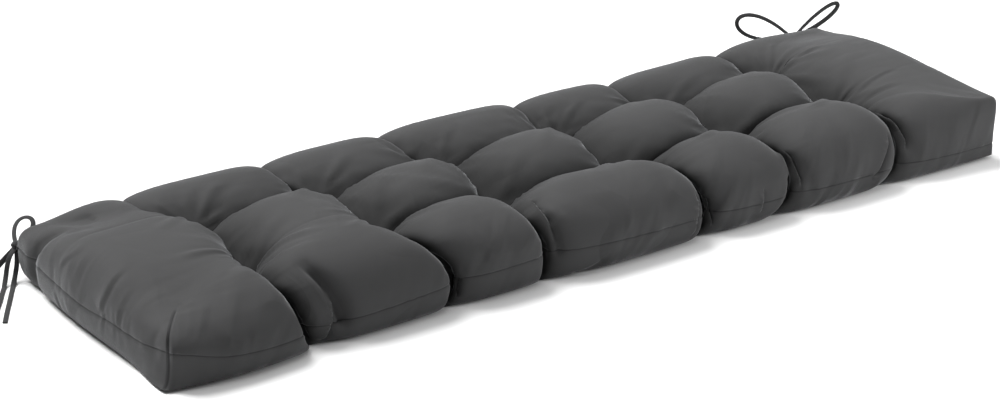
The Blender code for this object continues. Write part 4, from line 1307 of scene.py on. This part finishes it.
# ---- Materials ----
class Shader:
    """A Principled material under construction."""

    def __init__(self, name, sockets):
        self.material = bpy.data.materials.new(name)
        self.material.use_nodes = True
        self.tree = self.material.node_tree
        self.surface = self.tree.nodes["Principled BSDF"]
        self.feed(self.surface, sockets)

    def feed(self, node, sockets):
        """Joins each of a node's sockets to its source, or gives it its constant value."""
        for name, value in sockets.items():
            if isinstance(value, bpy.types.NodeSocket):
                self.tree.links.new(value, node.inputs[name])
            else:
                node.inputs[name].default_value = value

    def node(self, kind, sockets, **settings):
        """What a new node puts out."""
        made = self.tree.nodes.new(kind)
        for name, value in settings.items():
            setattr(made, name, value)
        self.feed(made, sockets)
        return made.outputs

    def math(self, operation, *values):
        return self.node("ShaderNodeMath", dict(enumerate(values)), operation=operation)[0]

    def attribute(self, name):
        return self.node("ShaderNodeAttribute", {}, attribute_name=name)["Fac"]

    def place(self):
        return self.node("ShaderNodeTexCoord", {})["Object"]

    def noise(self, place, scale, detail, **more):
        sockets = {"Vector": place, "Scale": scale, "Detail": detail, **more}
        return self.node("ShaderNodeTexNoise", sockets)["Fac"]

    def mix(self, share, first, second):
        """A colour between the first, where the share is 0, and the second."""
        sockets = {"Factor": share, "A": first, "B": second}
        return self.node("ShaderNodeMix", sockets, data_type="RGBA")["Result"]

    def bump(self, height, strength, distance, **more):
        sockets = {"Height": height, "Strength": strength, "Distance": distance, **more}
        return self.node("ShaderNodeBump", sockets)[0]


def tone(color, share=1):
    """A colour made darker or lighter, with the alpha that a socket asks for."""
    return (*[channel * share for channel in color], 1)


def ridge_height(shader, u, v):
    """The height of the fine wrinkles, in metres: stretched noise in both directions of the cloth."""
    u = shader.math("SUBTRACT", u, shader.math("MULTIPLY", v, RIDGE_LEAN))
    heights = []
    for share_name, u_pitch, v_pitch, offset in (("ridges_u", RIDGE_LENGTH, RIDGE_PITCH, 0.0),
                                                 ("ridges_v", RIDGE_PITCH, RIDGE_LENGTH, 7.3)):
        stretched = {0: shader.math("DIVIDE", u, u_pitch), 1: shader.math("DIVIDE", v, v_pitch), 2: offset}
        place = shader.node("ShaderNodeCombineXYZ", stretched)[0]
        ridges = shader.noise(place, 1.0, 0.8, Roughness=0.45, Distortion=0.35)
        tall = shader.math("MULTIPLY", shader.attribute(share_name), RIDGE_HEIGHT)
        heights.append(shader.math("MULTIPLY", ridges, tall))
    patches = {"Value": shader.noise(shader.place(), RIDGE_PATCHES, 1.0),
               "From Min": 0.42, "From Max": 0.60, "To Min": 0.15, "To Max": 1.35}
    share = shader.node("ShaderNodeMapRange", patches)[0]
    return shader.math("MULTIPLY", shader.math("ADD", *heights), share)


def woven_cloth(name):
    """Plain-woven polyester: crossed threads, a slight unevenness of the dye, a soft sheen, and shade painted
    into the closed valleys.
    """
    shader = Shader(name, {"Roughness": 0.80, "Specular IOR Level": 0.28, "Sheen Weight": 0.28,
                           "Sheen Roughness": 0.34, "Sheen Tint": (0.90, 0.92, 0.95, 1)})
    flat = shader.node("ShaderNodeUVMap", {}, uv_map="cloth")[0]
    u, v, _ = shader.node("ShaderNodeSeparateXYZ", {0: flat})
    threads = 2 * pi / THREAD_PITCH
    warp = shader.math("SINE", shader.math("MULTIPLY", u, threads))
    weft = shader.math("SINE", shader.math("MULTIPLY", v, threads))
    weave = shader.math("MULTIPLY", warp, weft)
    broad = shader.noise(shader.place(), 9, 3)
    fine = shader.noise(shader.place(), 420, 2)

    dye = shader.math("ADD", shader.math("MULTIPLY", broad, 0.7), shader.math("MULTIPLY", fine, 0.3))
    dyed = shader.mix(dye, tone(CLOTH_COLOR, 1 - DYE_SHADE), tone(CLOTH_COLOR, 1 + DYE_SHADE))
    # Painted shade: the colour darkens to a near black where the cloth is least full, in the closed valleys,
    # where little light comes back out.
    shade_range = {"Value": shader.attribute("fullness"), "From Min": 0.45, "From Max": 1.0}
    unshaded_share = shader.node("ShaderNodeMapRange", shade_range, interpolation_type="SMOOTHSTEP")[0]
    shaded = shader.mix(unshaded_share, tone(PAINTED_VALLEY_SHADE), dyed)
    stitches = shader.math("MULTIPLY", shader.attribute("seam"), 0.70)
    stitched = shader.mix(stitches, shaded, tone(STITCH_COLOR))

    wrinkles = shader.bump(ridge_height(shader, u, v), 1.0, 1.0)
    threaded = shader.math("ADD", weave, shader.math("MULTIPLY", fine, 1.2))
    relief = shader.bump(threaded, 0.35, 0.00008, Normal=wrinkles)
    shader.feed(shader.surface, {"Base Color": stitched, "Normal": relief})
    return shader.material


def tape_cloth(name):
    """The same cloth, folded and sewn into a tape: a ribbed weave without flat coordinates."""
    shader = Shader(name, {"Roughness": 0.78, "Specular IOR Level": 0.25, "Sheen Weight": 0.20,
                           "Sheen Roughness": 0.40})
    threads = shader.noise(shader.place(), 600, 3)
    color = shader.mix(threads, tone(TAPE_COLOR, 0.7), tone(TAPE_COLOR, 1.3))
    relief = shader.bump(threads, 0.4, 0.0001)
    shader.feed(shader.surface, {"Base Color": color, "Normal": relief})
    return shader.material


# ---- Studio ----
def make_floor():
    half = FLOOR_HALF
    corners = [(-half, -half, 0), (half, -half, 0), (half, half, 0), (-half, half, 0)]
    pale = {"Base Color": (0.93, 0.93, 0.93, 1), "Roughness": 0.9, "Specular IOR Level": 0.0}
    floor = mesh_object("floor", corners, [(0, 1, 2, 3)], Shader("pale_floor", pale).material)


def make_sky():
    """A soft surrounding light, brighter overhead than at the horizon."""
    world = bpy.data.worlds.new("studio")
    bpy.context.scene.world = world
    world.use_nodes = True
    tree = world.node_tree
    background = tree.nodes["Background"]
    place = tree.nodes.new("ShaderNodeTexCoord")
    apart = tree.nodes.new("ShaderNodeSeparateXYZ")
    fade = tree.nodes.new("ShaderNodeValToRGB")
    tree.links.new(place.outputs["Generated"], apart.inputs[0])
    tree.links.new(apart.outputs[2], fade.inputs[0])
    low, high = fade.color_ramp.elements
    low.position, low.color = 0.0, tone(HORIZON)
    high.position, high.color = 0.9, (1.0, 1.0, 1.0, 1)
    tree.links.new(fade.outputs[0], background.inputs["Color"])
    background.inputs["Strength"].default_value = SKY_STRENGTH


def hang_lamp(light, towards, place=(0, 0, 0)):
    """Puts a light in place, with its back towards the direction given."""
    lamp = bpy.data.objects.new(light.name, light)
    lamp.location = place
    lamp.rotation_euler = Vector(towards).to_track_quat("Z", "Y").to_euler()
    bpy.context.scene.collection.objects.link(lamp)


def make_key(name, direction, strength, spread):
    """A broad soft light from one direction, the same everywhere on the floor."""
    light = bpy.data.lights.new(name, "SUN")
    light.energy = strength
    light.angle = radians(spread)
    hang_lamp(light, direction)


def make_fill(place, aim, size, power):
    """A large soft lamp on one side, which brightens the walls that face it."""
    light = bpy.data.lights.new("fill", "AREA")
    light.shape = "DISK"
    light.size = size
    light.energy = power
    hang_lamp(light, Vector(place) - Vector(aim), place)


def make_camera():
    camera = bpy.data.cameras.new("camera")
    camera.lens = CAMERA_LENS
    camera.sensor_width = CAMERA_SENSOR
    camera.clip_end = 200
    azimuth, elevation = radians(CAMERA_AZIMUTH), radians(CAMERA_ELEVATION)
    back = Vector((sin(azimuth) * cos(elevation), -cos(azimuth) * cos(elevation), sin(elevation)))
    right = Vector((cos(azimuth), sin(azimuth), 0))
    up = back.cross(right)
    place = Matrix((right, up, back)).transposed().to_4x4()
    place.translation = Vector(CAMERA_PLACE)
    holder = bpy.data.objects.new("camera", camera)
    holder.matrix_world = place
    bpy.context.scene.collection.objects.link(holder)
    bpy.context.scene.camera = holder


def main():
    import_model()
    make_camera()
    make_ties(tape_cloth("tape_cloth_finish"))
    cushion = make_cushion(woven_cloth("cushion_cloth_finish"))
    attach(cushion, "root")
    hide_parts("cushion")
    make_floor()
    make_sky()
    make_key("overhead", *OVERHEAD)
    make_key("from_behind", *FROM_BEHIND)
    make_fill(*FILL)
    bpy.context.scene.view_settings.view_transform = "Standard"


main()
